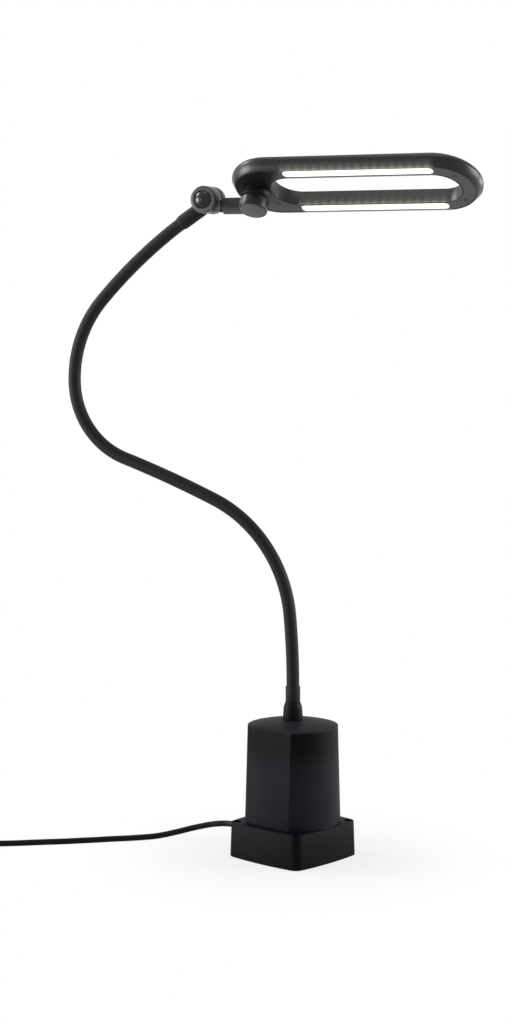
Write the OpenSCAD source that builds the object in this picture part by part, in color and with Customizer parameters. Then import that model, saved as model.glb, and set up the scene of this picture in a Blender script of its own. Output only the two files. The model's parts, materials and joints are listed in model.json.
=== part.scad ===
// Workbench light: a slotted LED ring head on a gooseneck, with a weighted base.
// Millimetres, +Z up. The origin is the middle of the pad that the lamp stands on.
// The bent neck lies in the XZ plane and the head points along +X.

/* [Foot] */
// Width of the foot across the middle of its sides
foot_side = 99; // [92:1:120]
// How far each side bows outwards
foot_bulge = 3.2; // [1:0.1:5]
// Radius of the foot's corners
foot_corner_r = 9; // [8:0.5:10]
// Height of the foot's rim above the table
foot_h = 36; // [32:0.5:45]
// Thickness of the foot's wall at the rim
foot_wall = 2.8; // [2:0.1:3.6]
// Thickness of the foot's floor above the pad
foot_floor = 3.5; // [3:0.5:6]
// Size of the rim against the underside
foot_draft = 0.98; // [0.97:0.005:1]
// Turn of the foot about the upright axis
base_turn = -21; // [-45:1:45]
// Radius of the four mounting holes
mount_hole_r = 2.25; // [1.6:0.05:2.7]
// Pitch circle of the mounting holes
mount_pcd = 112; // [111:0.5:113]
// Radius of the wells over the mounting holes
mount_well_r = 4.3; // [4:0.1:4.6]
// Height of the seats in those wells above the table
mount_seat_z = 12; // [8:0.5:20]
// Thickness of the anti-slip pad
pad_t = 1.5; // [1:0.1:2]
// How far the pad stands out of the foot
pad_proud = 0.5; // [0.3:0.1:0.9]
// Margin between the pad and the edge of the foot
pad_inset = 5; // [4:0.5:8]

/* [Tower] */
// Height of the tower's upper rim above the table
tower_rim_z = 134.5; // [120:0.5:160]
// Radius of the tower at its upper rim
tower_top_r = 45.5; // [42:0.5:47]
// How much narrower than the foot's rim the tower is where it stands on it
tower_step = 0.2; // [0.1:0.1:0.6]
// Rise of the domed top above the rim
tower_dome = 6; // [3:0.5:8]
// Thickness of the tower's wall
tower_wall = 2.6; // [2:0.1:3.2]
// Distance of the flat face from the axis at the foot
tower_flat = 38.9; // [38:0.1:41]
// Distance of the flat face from the axis at the upper rim
tower_flat_top = 35.5; // [34:0.1:37]
// Depth that the tower reaches into the foot
spigot_drop = 10; // [6:0.5:14]
// Distance of the tower's screws from the axis
post_d = 39.5; // [38.5:0.5:40]
// Radius of the screw posts
post_r = 4.5; // [4:0.1:5]
// Radius of the tower's screws
tower_screw_r = 1.75; // [1.25:0.05:2]
// Radius of the ballast block
ballast_r = 33; // [26:0.5:34]
// Height of the ballast block
ballast_h = 52; // [35:1:56]

/* [Driver] */
// Height of the posts that carry the board
standoff_h = 6; // [4:0.5:9]
// Width of the driver board
board_w = 54; // [46:1:58]
// Depth of the driver board
board_d = 50; // [44:1:52]
// Thickness of the driver board
board_t = 1.6; // [1:0.1:2.4]
// Height of the transformer
transformer_h = 16; // [10:1:18]
// Height of the capacitors
capacitor_h = 15; // [10:1:18]

/* [Switch] */
// Height of the switch above the table
switch_z = 102; // [100:1:110]
// Width of the rocker
rocker_w = 9.6; // [8:0.2:12]
// Length of the rocker
rocker_len = 15.4; // [13:0.2:18]
// Tilt of the rocker either way
rocker_tilt = 7; // [4:1:9]
// Thickness of the switch's wall beside the rocker
bezel_wall = 1.5; // [1.2:0.1:2]

/* [Neck] */
// Outer radius of the neck
neck_r = 6; // [5:0.1:6.5]
// Thickness of the neck's black sleeve
neck_skin = 1.4; // [1:0.1:2]
// Bore radius of the steel neck tube
neck_bore_r = 2.6; // [1.5:0.1:3]
// Lengths of the six stretches of the neck
link_1_len = 72; // [60:1:90]
// Second stretch
link_2_len = 147; // [125:1:165]
// Third stretch
link_3_len = 107; // [85:1:125]
// Fourth stretch
link_4_len = 101; // [85:1:115]
// Fifth stretch
link_5_len = 92; // [75:1:110]
// Sixth stretch
link_6_len = 129; // [110:1:150]
// Bend of the first stretch, in degrees to the left
link_1_turn = 5.5; // [4:0.5:20]
// Bend of the second stretch
link_2_turn = 60.5; // [45:0.5:75]
// Bend of the third stretch
link_3_turn = 5; // [1:0.5:10]
// Bend of the fourth stretch
link_4_turn = -69.5; // [-80:0.5:-50]
// Bend of the fifth stretch
link_5_turn = -44; // [-60:0.5:-30]
// Bend of the sixth stretch
link_6_turn = -14.5; // [-30:0.5:-5]
// Distance from a neck joint's centre to the next stretch
link_gap = 3; // [2.8:0.1:3.4]
// Radius of the collar where it meets the tower
collar_r = 10.2; // [9:0.1:12]
// Radius of the collar below its cone
collar_top_r = 9.35; // [8.5:0.05:10]
// Height of the collar below its cone
collar_h = 12.6; // [9:0.1:16]
// Height of the collar's cone
collar_cone_h = 6; // [4:0.5:9]
// Wall of the cuffs at both ends of the neck
cuff_wall = 1.05; // [0.8:0.05:1.4]
// Length of the lower cuff
lower_cuff_len = 15; // [10:0.5:20]
// Length of the upper cuff over the neck
upper_cuff_len = 12; // [8:0.5:14]
// Radius of the hollow stud in the collar
stud_r = 5; // [4:0.1:5.5]

/* [Tilt hub] */
// Radius of the hub's two discs
hub_r = 13.5; // [13:0.5:15]
// Thickness of the rear disc
rear_disc_t = 15; // [14:0.5:18]
// Thickness of the front barrel
barrel_t = 19; // [16:0.5:22]
// Thickness of the friction washer
hub_washer_t = 1; // [0.6:0.1:1.5]
// Distance from the neck's end to the hub's axis
hub_reach = 30; // [26:0.5:34]
// Radius of the hub's bolt
hub_bolt_r = 3; // [2.5:0.1:3.4]
// Radius of the domed caps
cap_r = 8.5; // [8:0.1:9]
// Rise of the front cap's dome
front_dome = 4; // [2:0.2:5]
// Rise of the rear cap's dome
rear_dome = 2.5; // [1.5:0.2:4]
// Distance of the arm's axis below the hub's axis
arm_drop = 6.4; // [6:0.1:6.6]

/* [Arm] */
// Distance from the hub's axis to the seam of the arm
lug_reach = 16.5; // [16:0.5:18]
// Distance from the hub's axis to the swivel axis
arm_reach = 50; // [49.5:0.5:60]
// Width of the arm bar
bar_w = 13; // [11:0.5:13]
// Height of the arm bar and of its knuckle
bar_h = 12; // [10.4:0.2:12.4]
// Radius of the knuckle
knuckle_r = 14; // [13:0.5:15]
// Radius of the spigot that the arm rolls on
spigot_r = 3.5; // [3:0.1:3.6]
// Roll of the head towards the camera side, in degrees
head_roll = 29; // [0:1:60]
// Radius of the swivel bolt
swivel_bolt_r = 4; // [3.2:0.1:4.4]

/* [Head] */
// Radius of the head's ends at the underside
head_r = 38.8; // [38:0.1:41]
// How far the side wall flares out
head_flare = 4.7; // [3:0.1:6]
// Height at which the flare ends
flare_h = 7.2; // [5:0.1:8]
// Thickness of the head
head_t = 15.5; // [15:0.1:18]
// Radius of the head's upper edge
head_edge_r = 6; // [3:0.5:7]
// Distance of the left end's centre from the swivel axis
head_left = 18.4; // [16:0.1:20]
// Distance between the centres of the two ends
head_span = 166.6; // [160:0.2:190]
// Radius of the slot's ends
slot_r = 23.7; // [22:0.1:24.2]
// Distance from the swivel axis to the slot's end
slot_start = 16; // [15.6:0.1:18]
// Thickness of the head's wall
head_wall = 1.8; // [1.4:0.1:2.2]
// Thickness of the rim round the underside plate
rim_t = 1.4; // [1:0.1:1.5]
// Thickness of the underside plate
plate_t = 2; // [1.6:0.1:2.6]
// Height of the boss under the head
boss_h = 7; // [6:0.5:10]
// Length of the lit strips
strip_len = 151.5; // [140:0.5:156]
// Width of the lit strips
strip_w = 9.2; // [7:0.1:9.6]
// Number of light-emitting chips on each board
chip_count = 18; // [10:1:20]
// Width of a chip
chip_w = 3; // [2:0.1:3.6]
// Radius of the screws in the underside
head_screw_r = 1.2; // [0.9:0.1:1.4]
// Radius of those screws' heads
head_screw_head_r = 2.4; // [2:0.1:2.7]

/* [Lead] */
// Diameter of the mains lead
cord_d = 6.2; // [5.6:0.1:6.4]
// Height of the lead's way out of the foot
cord_z = 18.5; // [18:0.5:22]
// Length of the tapered strain relief
relief_len = 25; // [20:1:40]
// Radius of the strain relief at the foot
relief_r = 6; // [5:0.1:7]
// Turns in the coil
coil_turns = 6.25; // [5.25:1:6.25]
// Radius of the coil's outer turn
coil_r = 48; // [46:0.5:50]
// Spacing between neighbouring turns
coil_pitch = 7.3; // [6.9:0.1:7.4]
// Thickness of the tie round the coil
tie_t = 0.8; // [0.6:0.1:1]
// Width of the tie
tie_w = 8; // [5:0.5:12]
// Length of the plug's body
plug_len = 36; // [30:1:45]
// Width of the plug's body
plug_w = 35; // [30:1:40]
// Distance between the plug's pins
pin_pitch = 19; // [17:0.5:20]
// Radius of the plug's pins
pin_r = 2.4; // [2:0.1:2.6]
// Length of the plug's pins
pin_len = 19; // [15:0.5:22]

/* [Fits] */
// Clearance of a turning fit
run_fit = 0.05; // [0.03:0.01:0.08]
// Clearance of a piece in its seat
seat_fit = 0.1; // [0.05:0.01:0.15]
// Clearance between moving faces
free_gap = 0.3; // [0.25:0.05:0.4]

/* [Hidden] */
$fn = 64;
eps = 0.01;

charcoal = "#28282b";
satin_black = "#1d1d20";
hub_grey = "#66666a";
plate_grey = "#55565a";
steel = "#b4b8bd";

// Foot: a square whose sides are shallow arcs, with rounded corners
foot_half = foot_side / 2;
rim_half = foot_half * foot_draft;
rim_inset = foot_wall + foot_half - rim_half;
floor_z = pad_t + foot_floor;
pad_notch_r = 4 * mount_hole_r;
spigot_z = foot_h - spigot_drop;
well_r = foot_half - rim_inset;
side_steps = 6;
corner_steps = 6;

function side_arc_r(half) = ((half - foot_bulge) ^ 2 + foot_bulge ^ 2) / (2 * foot_bulge);
function corner_centre(half, r) =
  let (big = side_arc_r(half), off = half - big)
  (off + sqrt(2 * (big - r) ^ 2 - off ^ 2)) / 2;
function corner_angle(half, r) =
  let (c = corner_centre(half, r))
  atan2(c, c - half + side_arc_r(half));
function wall_half(z) = foot_half - (foot_half - rim_half) * (z - pad_proud) / (foot_h - pad_proud);
function turned(p, a) = [p[0] * cos(a) - p[1] * sin(a), p[0] * sin(a) + p[1] * cos(a)];
function quarter_outline(half, r) =
  let (
    big = side_arc_r(half),
    c = corner_centre(half, r),
    a0 = corner_angle(half, r),
    sweep = 90 - 2 * a0
  )
  concat(
    [for (i = [0:corner_steps]) let (a = a0 + sweep * i / corner_steps) [c + r * cos(a), c + r * sin(a)]],
    [for (i = [1:side_steps - 1])
      let (a = 90 - a0 + 2 * a0 * i / side_steps)
      [big * cos(a), half - big + big * sin(a)]]
  );
function foot_outline(inset) =
  let (quarter = quarter_outline(foot_half - inset, foot_corner_r - inset / 2))
  [for (k = [0:3]) for (p = quarter) turned(p, 90 * k)];

// Tower
tower_foot_r = rim_half - tower_step;
tower_spigot_r = well_r - seat_fit - free_gap;
tower_slope = (tower_foot_r - tower_top_r) / (tower_rim_z - foot_h);
function tower_r(z) = tower_foot_r - tower_slope * (z - foot_h);
function flat_at(z) = tower_flat + (tower_flat_top - tower_flat) * (z - foot_h) / (tower_rim_z - foot_h);
well_flat = flat_at(spigot_z) + seat_fit;
dome_ball_r = (tower_top_r ^ 2 + tower_dome ^ 2) / (2 * tower_dome);
tower_top_z = tower_rim_z + tower_dome;
collar_sink = 0.4;
roof_drop = 1.5;
ceiling_z = tower_rim_z - roof_drop;
boss_stand = 0.5;
boss_z = spigot_z - boss_stand;
boss_h_tower = 18;
post_angles = [45, 135, 225, 315];
screw_head_r = 2 * tower_screw_r;
screw_head_h = 2.5;
screw_grip = 7;
screw_seat_z = boss_z - screw_grip;
screw_stop = 3;
screw_tip_z = boss_z + boss_h_tower - screw_stop;
ballast_top = floor_z + ballast_h;
ballast_bolt_r = 3;
ballast_bolt_head_r = 6;
ballast_bolt_len = 24;
bolt_slack = 2;
bolt_land = 0.5;
bolt_cone_h = foot_floor - bolt_land;
cut_past = 1;

// Driver
board_z = ballast_top + standoff_h;
board_top = board_z + board_t;
board_y = 2;
transformer_edge = 4;
transformer_back = 6;
capacitor_pitch = 12;
terminal_edge = 2;
terminal_d = 10;
terminal_h = 11;
standoff_r = 2.5;
standoff_x = board_w / 3;
standoff_y = board_d / 2.8;
capacitor_r = 5;

// Switch on the hidden back of the tower, set in a small flat
switch_flat = 1;
switch_face = tower_r(switch_z) - switch_flat;
cavity_w = rocker_w + 2 * free_gap;
cavity_len = rocker_len + 4 * free_gap;
switch_w = cavity_w + 2 * bezel_wall;
switch_len = cavity_len + 2 * bezel_wall;
flange_t = 1.8;
flange_lip = 1.3;
switch_depth = 15;
rocker_pin_r = 1.2;
rocker_sink = 0.5;
rocker_y = switch_face - rocker_sink;
rocker_crest = 2.6;
rocker_dip = 1.4;
rocker_root = 5;
rocker_room = 2;
pad_margin = 3;

// Collar and neck
collar_z = tower_top_z - collar_sink;
collar_end = collar_z + collar_h + collar_cone_h;
cuff_r = neck_r + run_fit + cuff_wall;
neck_start = collar_end + lower_cuff_len;
stud_tail = 14;
stud_cover = 2;
stud_low = ceiling_z - stud_tail;
stud_high = collar_z + collar_h - stud_cover;
nut_t = 6;
neck_washer_t = 1.2;
neck_washer_lip = 4;
core_r = neck_r - neck_skin - seat_fit;
socket_r = neck_r + free_gap;
ball_r = neck_r - free_gap / 2;
ferrule_grip = 10;

link_lens = [link_1_len, link_2_len, link_3_len, link_4_len, link_5_len, link_6_len];
link_turns = [link_1_turn, link_2_turn, link_3_turn, link_4_turn, link_5_turn, link_6_turn];
function bend_r(i) = abs(link_lens[i] / link_turns[i]) * 180 / PI;
function heading(i) = i == 0 ? 90 : heading(i - 1) + link_turns[i - 1];
function chord(i) = 2 * bend_r(i) * sin(abs(link_turns[i]) / 2);
function along(a, d) = [d * cos(a), d * sin(a)];
function link_at(i) =
  i == 0 ? [0, neck_start] : link_at(i - 1) + along(heading(i - 1) + link_turns[i - 1] / 2, chord(i - 1));

// Hub, arm and head
neck_end = link_at(6);
neck_end_angle = heading(6);
hub = neck_end + along(neck_end_angle, hub_reach);
rear_shift = 1;
rear_y = rear_disc_t / 2 + rear_shift;
rear_front_y = rear_y - rear_disc_t;
washer_front_y = rear_front_y - hub_washer_t;
barrel_back_y = washer_front_y - run_fit;
barrel_front_y = barrel_back_y - barrel_t;
cap_seat = 2;
rear_cap_seat = 1.5;
rear_taper = 3;
rear_taper_t = 7;
hub_nut_t = 4.2;
hub_nut_r = 2 * hub_bolt_r;
hub_head_lip = 2.2;
hub_head_r = hub_bolt_r + hub_head_lip;
hub_head_t = 3;
ferrule_r = neck_r - seat_fit;
ferrule_clear = 1;
ferrule_stop = hub_nut_r + ferrule_clear;
arm_inset = 7;
roll_y = barrel_back_y - arm_inset;
roll_z = hub[1] - arm_drop;
seam_x = hub[0] + lug_reach;
spigot_depth = 10.5;
spigot_in_bar = 8;
groove_back = 7;
groove_depth = 1;
groove_w = 2.8;
grub_r = 1.2;
gap_h = 1.8;
knuckle_low = -boss_h - gap_h - bar_h;
knuckle_high = -boss_h - gap_h;
bar_mid = (knuckle_low + knuckle_high) / 2;
swivel_x = hub[0] + arm_reach;
knuckle_cap_t = 1.4;
knuckle_rim = 1.5;
knuckle_cap_r = knuckle_r - knuckle_rim;
knuckle_wall = 4;
swivel_nut_r = swivel_bolt_r * 1.7;
swivel_nut_t = 4.5;
nut_room = 1;
swivel_cavity_r = swivel_nut_r + nut_room;
swivel_head_lip = 2.5;
swivel_head_r = swivel_bolt_r + swivel_head_lip;
swivel_head_t = 3.6;
washer_inset = 2;
swivel_washer_r = knuckle_r - washer_inset;

head_max_r = head_r + head_flare;
head_right = head_left + head_span;
slot_left = slot_start + slot_r;
slot_right = head_right;
arm_mid = (slot_r + head_r) / 2;
plate_low = 0.3;
plate_high = plate_low + plate_t;
inner_edge_r = head_edge_r - head_wall;
ceiling_n = head_t - head_wall;
strip_shift = 1;
strip_mid = (slot_left + slot_right) / 2 + strip_shift;
strip_half = strip_len / 2 - strip_w / 2;
lens_flange_t = 1;
lens_flange_lip = 0.8;
rail_w = 8;
board_strip_w = 9;
board_strip_t = 1.2;
board_strip_n = 9;
chip_t = 0.8;
chip_n = board_strip_n - chip_t / 2;
chip_margin = 3.6;
chip_pitch = (strip_len - chip_margin) / (chip_count - 1);
screw_ring_r = arm_mid;
screw_ring_angle = 44;
left_screw_u = 14.7;
screw_v = screw_ring_r * sin(screw_ring_angle);
right_screw_u = head_right + screw_ring_r * cos(screw_ring_angle);
head_screw_spots = [for (u = [left_screw_u, right_screw_u]) for (s = [-1, 1]) [u, s * screw_v]];
head_boss_r = 3.3;
head_screw_len = 8;
head_screw_sink = 0.6;
rail_short = 2;
board_short = 1;

// Lead: the route lies on the table once it has come down from the foot
relief_skin = 1;
relief_end_r = cord_d / 2 + relief_skin;
relief_flange = 1.5;
relief_in = sqrt(well_r ^ 2 - relief_r ^ 2) - seat_fit;
relief_seat = wall_half(cord_z - relief_r) + seat_fit;
relief_step = 1;
relief_neck_r = relief_r - relief_step;
relief_to = relief_seat + relief_len;
cord_sides = 8;
coil_sides = 6;
coil_rings = 24;
coil_centre = [-374, -63];
coil_start = -64;
coil_clear = 0.2;
coil_low = tie_t + cord_d / 2 + coil_clear;
layer_gap = 0.6;
coil_rise = cord_d + layer_gap;
plug_run = 2.6 * cord_d;
tie_angle = 120;
lead_route = [
  [-78, 30, 18.5], [-86, 32, 18], [-95, 32, 17], [-104, 32, 15.3], [-113, 30, 13.2], [-122, 28, 10.9],
  [-131, 24, 8.5], [-140, 20, 6.2], [-149, 14, 4.4], [-158, 7.5, 3.4], [-168, 0, 3.2], [-181, -9, 3.1],
  [-194, -17, 3.1], [-207, -26, 3.1], [-221, -35, 3.1], [-235, -44, 3.1], [-249, -52, 3.1],
  [-263, -60, 3.1], [-278, -69, 3.1], [-293, -77, 3.2], [-308, -85, 3.5], [-323, -92, 3.8]
];

function unit(v) = v / norm(v);
function coil_radius(t) = coil_r - coil_pitch * min(t, coil_turns - t);
function ramp(x) = let (c = min(max(x, 0), 1)) c * c * (3 - 2 * c);
function coil_height(t) = coil_low + coil_rise * ramp(2 * (t - coil_turns / 2) + 0.5);
function coil_point(t) =
  let (a = coil_start - 360 * t)
  [
    coil_centre[0] + coil_radius(t) * cos(a),
    coil_centre[1] + coil_radius(t) * sin(a),
    coil_height(t)
  ];
coil_steps = coil_rings * coil_turns;
coil_body = [for (i = [0:coil_steps]) coil_point(i / coil_rings)];
coil_in = coil_body[0] - cord_d * along3(coil_start - 90);
coil_out_angle = coil_start - 360 * coil_turns - 90;
coil_out = coil_body[len(coil_body) - 1] + plug_run * along3(coil_out_angle);
coil_path = concat([coil_in], coil_body, [coil_out]);
lead_path = concat([relief_point()], lead_route, [coil_in]);

function along3(a) = [cos(a), sin(a), 0];
function relief_point() =
  let (p = turned([-relief_to, 0], base_turn))
  [p[0], p[1], cord_z];

// The least distance between points of the coil that lie over half a turn apart along it
coil_gap = min([
  for (i = [0:len(coil_body) - 1])
    for (j = [i + coil_rings / 2:1:len(coil_body) - 1])
      norm(coil_body[i] - coil_body[j])
]) - cord_d;
echo(least_coil_gap = coil_gap);

function path_dir(path, i) =
  let (last = len(path) - 1)
  unit(path[min(i + 1, last)] - path[max(i - 1, 0)]);
function ring_at(path, i, r, sides) =
  let (
    t = path_dir(path, i),
    side = unit(cross(t, [0, 0, 1])),
    up = cross(side, t)
  )
  [for (k = [0:sides - 1]) let (a = 360 * (k + 0.5) / sides) path[i] + r * cos(a) * side + r * sin(a) * up];

// One closed tube of triangles along a list of points
module swept_tube(path, r, sides) {
  rings = len(path);
  points = [for (i = [0:rings - 1]) each ring_at(path, i, r, sides)];
  walls = [
    for (i = [0:rings - 2])
      for (k = [0:sides - 1])
        let (
          a = i * sides + k,
          b = i * sides + (k + 1) % sides
        )
        each [[a, b, b + sides], [a, b + sides, a + sides]]
  ];
  first = [for (k = [1:sides - 2]) [0, k + 1, k]];
  last_ring = (rings - 1) * sides;
  last = [for (k = [1:sides - 2]) [last_ring, last_ring + k, last_ring + k + 1]];
  polyhedron(points = points, faces = concat(walls, first, last));
}

// Frames
module base_frame() {
  rotate([0, 0, base_turn]) children();
}
module hub_frame() {
  translate([hub[0], 0, hub[1]]) rotate([90, 0, 0]) children();
}
module roll_frame() {
  translate([swivel_x, roll_y, roll_z]) rotate([-head_roll, 0, 0]) translate([0, 0, -bar_mid]) children();
}
module neck_frame(i) {
  translate([link_at(i)[0], 0, link_at(i)[1]]) rotate([90, 0, 0]) rotate([0, 0, heading(i)]) children();
}
module plug_frame() {
  translate(coil_out) rotate([0, 0, coil_out_angle]) children();
}
// A cylinder between two heights
module disc(r, from, to) {
  translate([0, 0, from]) cylinder(r = r, h = to - from);
}

// Foot
module pad_outline(slack) {
  difference() {
    polygon(foot_outline(pad_inset - slack));
    for (a = post_angles) rotate(a)
      translate([mount_pcd / 2 + pad_notch_r / 3, 0])
        circle(pad_notch_r - slack);
  }
}

module anti_slip_pad() {
  color("#141416")
    base_frame()
      linear_extrude(pad_t) pad_outline(0);
}

module foot_body() {
  translate([0, 0, pad_proud])
    linear_extrude(foot_h - pad_proud, scale = foot_draft)
      polygon(foot_outline(0));
}

// The well that takes the lower end of the tower
module foot_well() {
  intersection() {
    disc(well_r, floor_z, foot_h + cut_past);
    translate([-foot_side, -well_flat, 0]) cube([2 * foot_side, 2 * foot_side, 2 * foot_h]);
  }
}

module foot_tray() {
  color(charcoal)
    base_frame()
      difference() {
        union() {
          difference() {
            foot_body();
            foot_well();
          }
          for (a = post_angles) rotate([0, 0, a])
            translate([post_d, 0, 0])
              disc(post_r, floor_z - eps, boss_z);
        }
        linear_extrude(pad_t) pad_outline(seat_fit);
        for (a = post_angles) rotate([0, 0, a]) {
          translate([mount_pcd / 2, 0, 0]) disc(mount_hole_r, -eps, mount_seat_z + eps);
          translate([mount_pcd / 2, 0, 0]) disc(mount_well_r, mount_seat_z, foot_h + cut_past);
          translate([post_d, 0, 0]) disc(tower_screw_r + seat_fit, -eps, boss_z + eps);
          translate([post_d, 0, 0]) disc(screw_head_r + seat_fit, -eps, screw_seat_z);
        }
        disc(ballast_bolt_r + seat_fit, -eps, floor_z + eps);
        translate([0, 0, pad_t - eps])
          cylinder(r1 = ballast_bolt_head_r + seat_fit, r2 = ballast_bolt_r + seat_fit, h = bolt_cone_h);
        translate([-foot_half, 0, cord_z])
          rotate([0, 90, 0])
            disc(relief_neck_r + seat_fit, -foot_wall, 2 * rim_inset);
      }
}

module ballast_block() {
  color("#5b5d60")
    base_frame()
      difference() {
        disc(ballast_r, floor_z, ballast_top);
        disc(ballast_bolt_r + seat_fit, floor_z - eps, floor_z + ballast_bolt_len);
      }
}

module ballast_bolt() {
  color(steel)
    base_frame() {
      disc(ballast_bolt_r, pad_t, floor_z + ballast_bolt_len - bolt_slack);
      translate([0, 0, pad_t])
        cylinder(r1 = ballast_bolt_head_r, r2 = ballast_bolt_r, h = bolt_cone_h);
    }
}

// Tower
// All the space behind the flat face, less an inset
module behind_flat(inset) {
  high = 2 * tower_rim_z;
  rotate([90, 0, 90])
    linear_extrude(4 * foot_side, center = true)
      polygon([[inset - flat_at(0), 0], [foot_side, 0], [foot_side, high], [inset - flat_at(high), high]]);
}

module tower_outside() {
  intersection() {
    union() {
      translate([0, 0, foot_h])
        cylinder(r1 = tower_foot_r, r2 = tower_r(tower_top_z), h = tower_top_z - foot_h);
      disc(tower_spigot_r, spigot_z, foot_h + eps);
    }
    translate([0, 0, tower_top_z - dome_ball_r]) sphere(dome_ball_r, $fn = 128);
    behind_flat(0);
  }
}

module tower_inside() {
  intersection() {
    union() {
      translate([0, 0, foot_h])
        cylinder(
          r1 = tower_foot_r - tower_wall,
          r2 = tower_r(ceiling_z) - tower_wall,
          h = ceiling_z - foot_h
        );
      disc(tower_spigot_r - tower_wall, spigot_z - eps, foot_h + tower_wall);
    }
    behind_flat(tower_wall);
  }
}

module switch_hole(clear, from, to) {
  translate([-switch_w / 2 - clear, from, switch_z - switch_len / 2 - clear])
    cube([switch_w + 2 * clear, to - from, switch_len + 2 * clear]);
}

module tower_shell() {
  flat_w = switch_w + 2 * flange_lip + 2 * seat_fit + pad_margin;
  flat_h = switch_len + 2 * flange_lip + 2 * seat_fit + pad_margin;
  color(charcoal)
    base_frame()
      difference() {
        union() {
          difference() {
            tower_outside();
            tower_inside();
          }
          for (a = post_angles) rotate([0, 0, a])
            translate([post_d, 0, 0])
              disc(post_r, boss_z, boss_z + boss_h_tower);
          translate([-flat_w / 2, switch_face - 2 * tower_wall, switch_z - flat_h / 2])
            cube([flat_w, tower_wall * 1.8, flat_h]);
        }
        for (a = post_angles) rotate([0, 0, a])
          translate([post_d, 0, 0])
            disc(tower_screw_r + seat_fit / 2, boss_z - eps, screw_tip_z + cut_past);
        translate([-foot_half, switch_face, switch_z - flat_h / 2]) cube([foot_side, foot_half, flat_h]);
        switch_hole(seat_fit, switch_face - switch_depth, switch_face + eps);
        translate([0, 0, cord_z])
          rotate([0, -90, 0])
            disc(relief_r + free_gap, tower_spigot_r / 2, foot_half);
        disc(stud_r + seat_fit, ceiling_z - eps, collar_z + tower_dome);
        disc(collar_r + 2 * seat_fit, collar_z, collar_z + tower_dome);
      }
}

module tower_screws() {
  color(steel)
    base_frame()
      for (a = post_angles) rotate([0, 0, a])
        translate([post_d, 0, 0]) {
          disc(screw_head_r, screw_seat_z - screw_head_h, screw_seat_z);
          disc(tower_screw_r, screw_seat_z - eps, screw_tip_z);
        }
}

// Driver
module board_standoffs() {
  color(steel)
    base_frame()
      for (x = [-1, 1])
        for (y = [-1, 1])
          translate([x * standoff_x, y * standoff_y, 0])
            disc(standoff_r, ballast_top, board_z);
}

module driver_board() {
  color("#2f5d3a")
    base_frame()
      translate([-board_w / 2, board_y - board_d / 2, board_z])
        cube([board_w, board_d, board_t]);
}

module driver_transformer() {
  color("#b58a2e")
    base_frame()
      translate([-board_w / 2 + transformer_edge, board_y - transformer_back, board_top])
        cube([board_w * 0.4, board_d * 0.42, transformer_h]);
}

module driver_capacitors() {
  color("#23344f")
    base_frame()
      for (y = [0, 1])
        translate([board_w / 4, board_y + capacitor_pitch * y, 0])
          disc(capacitor_r, board_top, board_top + capacitor_h);
}

module terminal_block() {
  color("#d8d8d4")
    base_frame()
      translate([-board_w / 4, board_y - board_d / 2 + terminal_edge, board_top])
        cube([board_w / 2, terminal_d, terminal_h]);
}

// Switch
module switch_bezel() {
  color(satin_black)
    base_frame()
      difference() {
        union() {
          switch_hole(0, switch_face - switch_depth, switch_face);
          translate([-switch_w / 2 - flange_lip, switch_face, switch_z - switch_len / 2 - flange_lip])
            cube([switch_w + 2 * flange_lip, flange_t, switch_len + 2 * flange_lip]);
        }
        translate([-cavity_w / 2, rocker_y - rocker_root - rocker_room, switch_z - cavity_len / 2])
          cube([cavity_w, switch_depth, cavity_len]);
        translate([0, rocker_y, switch_z])
          rotate([0, 90, 0])
            disc(rocker_pin_r + run_fit, -switch_w, switch_w);
      }
}

module switch_rocker() {
  half = rocker_len / 2;
  color("#0f0f10")
    base_frame()
      translate([0, rocker_y, switch_z])
        rotate([rocker_tilt, 0, 0]) {
          rotate([90, 0, 90])
            translate([0, 0, -rocker_w / 2])
              linear_extrude(rocker_w)
                polygon([
                  [rocker_crest, half], [rocker_dip, 0], [rocker_crest, -half],
                  [-rocker_root / 2, -half], [-rocker_root, 0], [-rocker_root / 2, half]
                ]);
          rotate([0, 90, 0]) disc(rocker_pin_r, -switch_w / 2, switch_w / 2);
        }
}

// Collar and the neck's fixing
module neck_collar() {
  color(charcoal)
    difference() {
      union() {
        translate([0, 0, collar_z]) cylinder(r1 = collar_r, r2 = collar_top_r, h = collar_h);
        translate([0, 0, collar_z + collar_h]) cylinder(r1 = collar_top_r, r2 = cuff_r, h = collar_cone_h);
      }
      disc(stud_r + seat_fit, collar_z - eps, stud_high + seat_fit);
    }
}

module neck_stud() {
  color(steel)
    difference() {
      disc(stud_r, stud_low, stud_high);
      disc(stud_r / 2, stud_low - eps, stud_high + eps);
    }
}

module neck_washer() {
  color(steel)
    difference() {
      disc(stud_r + neck_washer_lip, ceiling_z - neck_washer_t, ceiling_z);
      disc(stud_r + seat_fit, ceiling_z - neck_washer_t - eps, ceiling_z + eps);
    }
}

module neck_nut() {
  color(steel)
    difference() {
      translate([0, 0, ceiling_z - neck_washer_t - nut_t]) cylinder(r = stud_r * 1.7, h = nut_t, $fn = 6);
      disc(stud_r + run_fit, ceiling_z - neck_washer_t - nut_t - eps, ceiling_z);
    }
}

module lower_sleeve() {
  color(satin_black)
    difference() {
      disc(cuff_r, collar_end, neck_start);
      disc(neck_r + run_fit, collar_end - eps, neck_start + eps);
    }
}

// A stretch of round bar along a bent link, between two distances from its start
module bent_bar(i, r, from, to) {
  turn = abs(link_turns[i]);
  big = bend_r(i);
  step = turn / link_lens[i];
  neck_frame(i)
    mirror([0, link_turns[i] < 0 ? 1 : 0, 0])
      translate([0, big, 0])
        rotate([0, 0, from * step - 90])
          rotate_extrude(angle = (to - from) * step, $fn = 180)
            translate([big, 0])
              circle(r);
}

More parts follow.
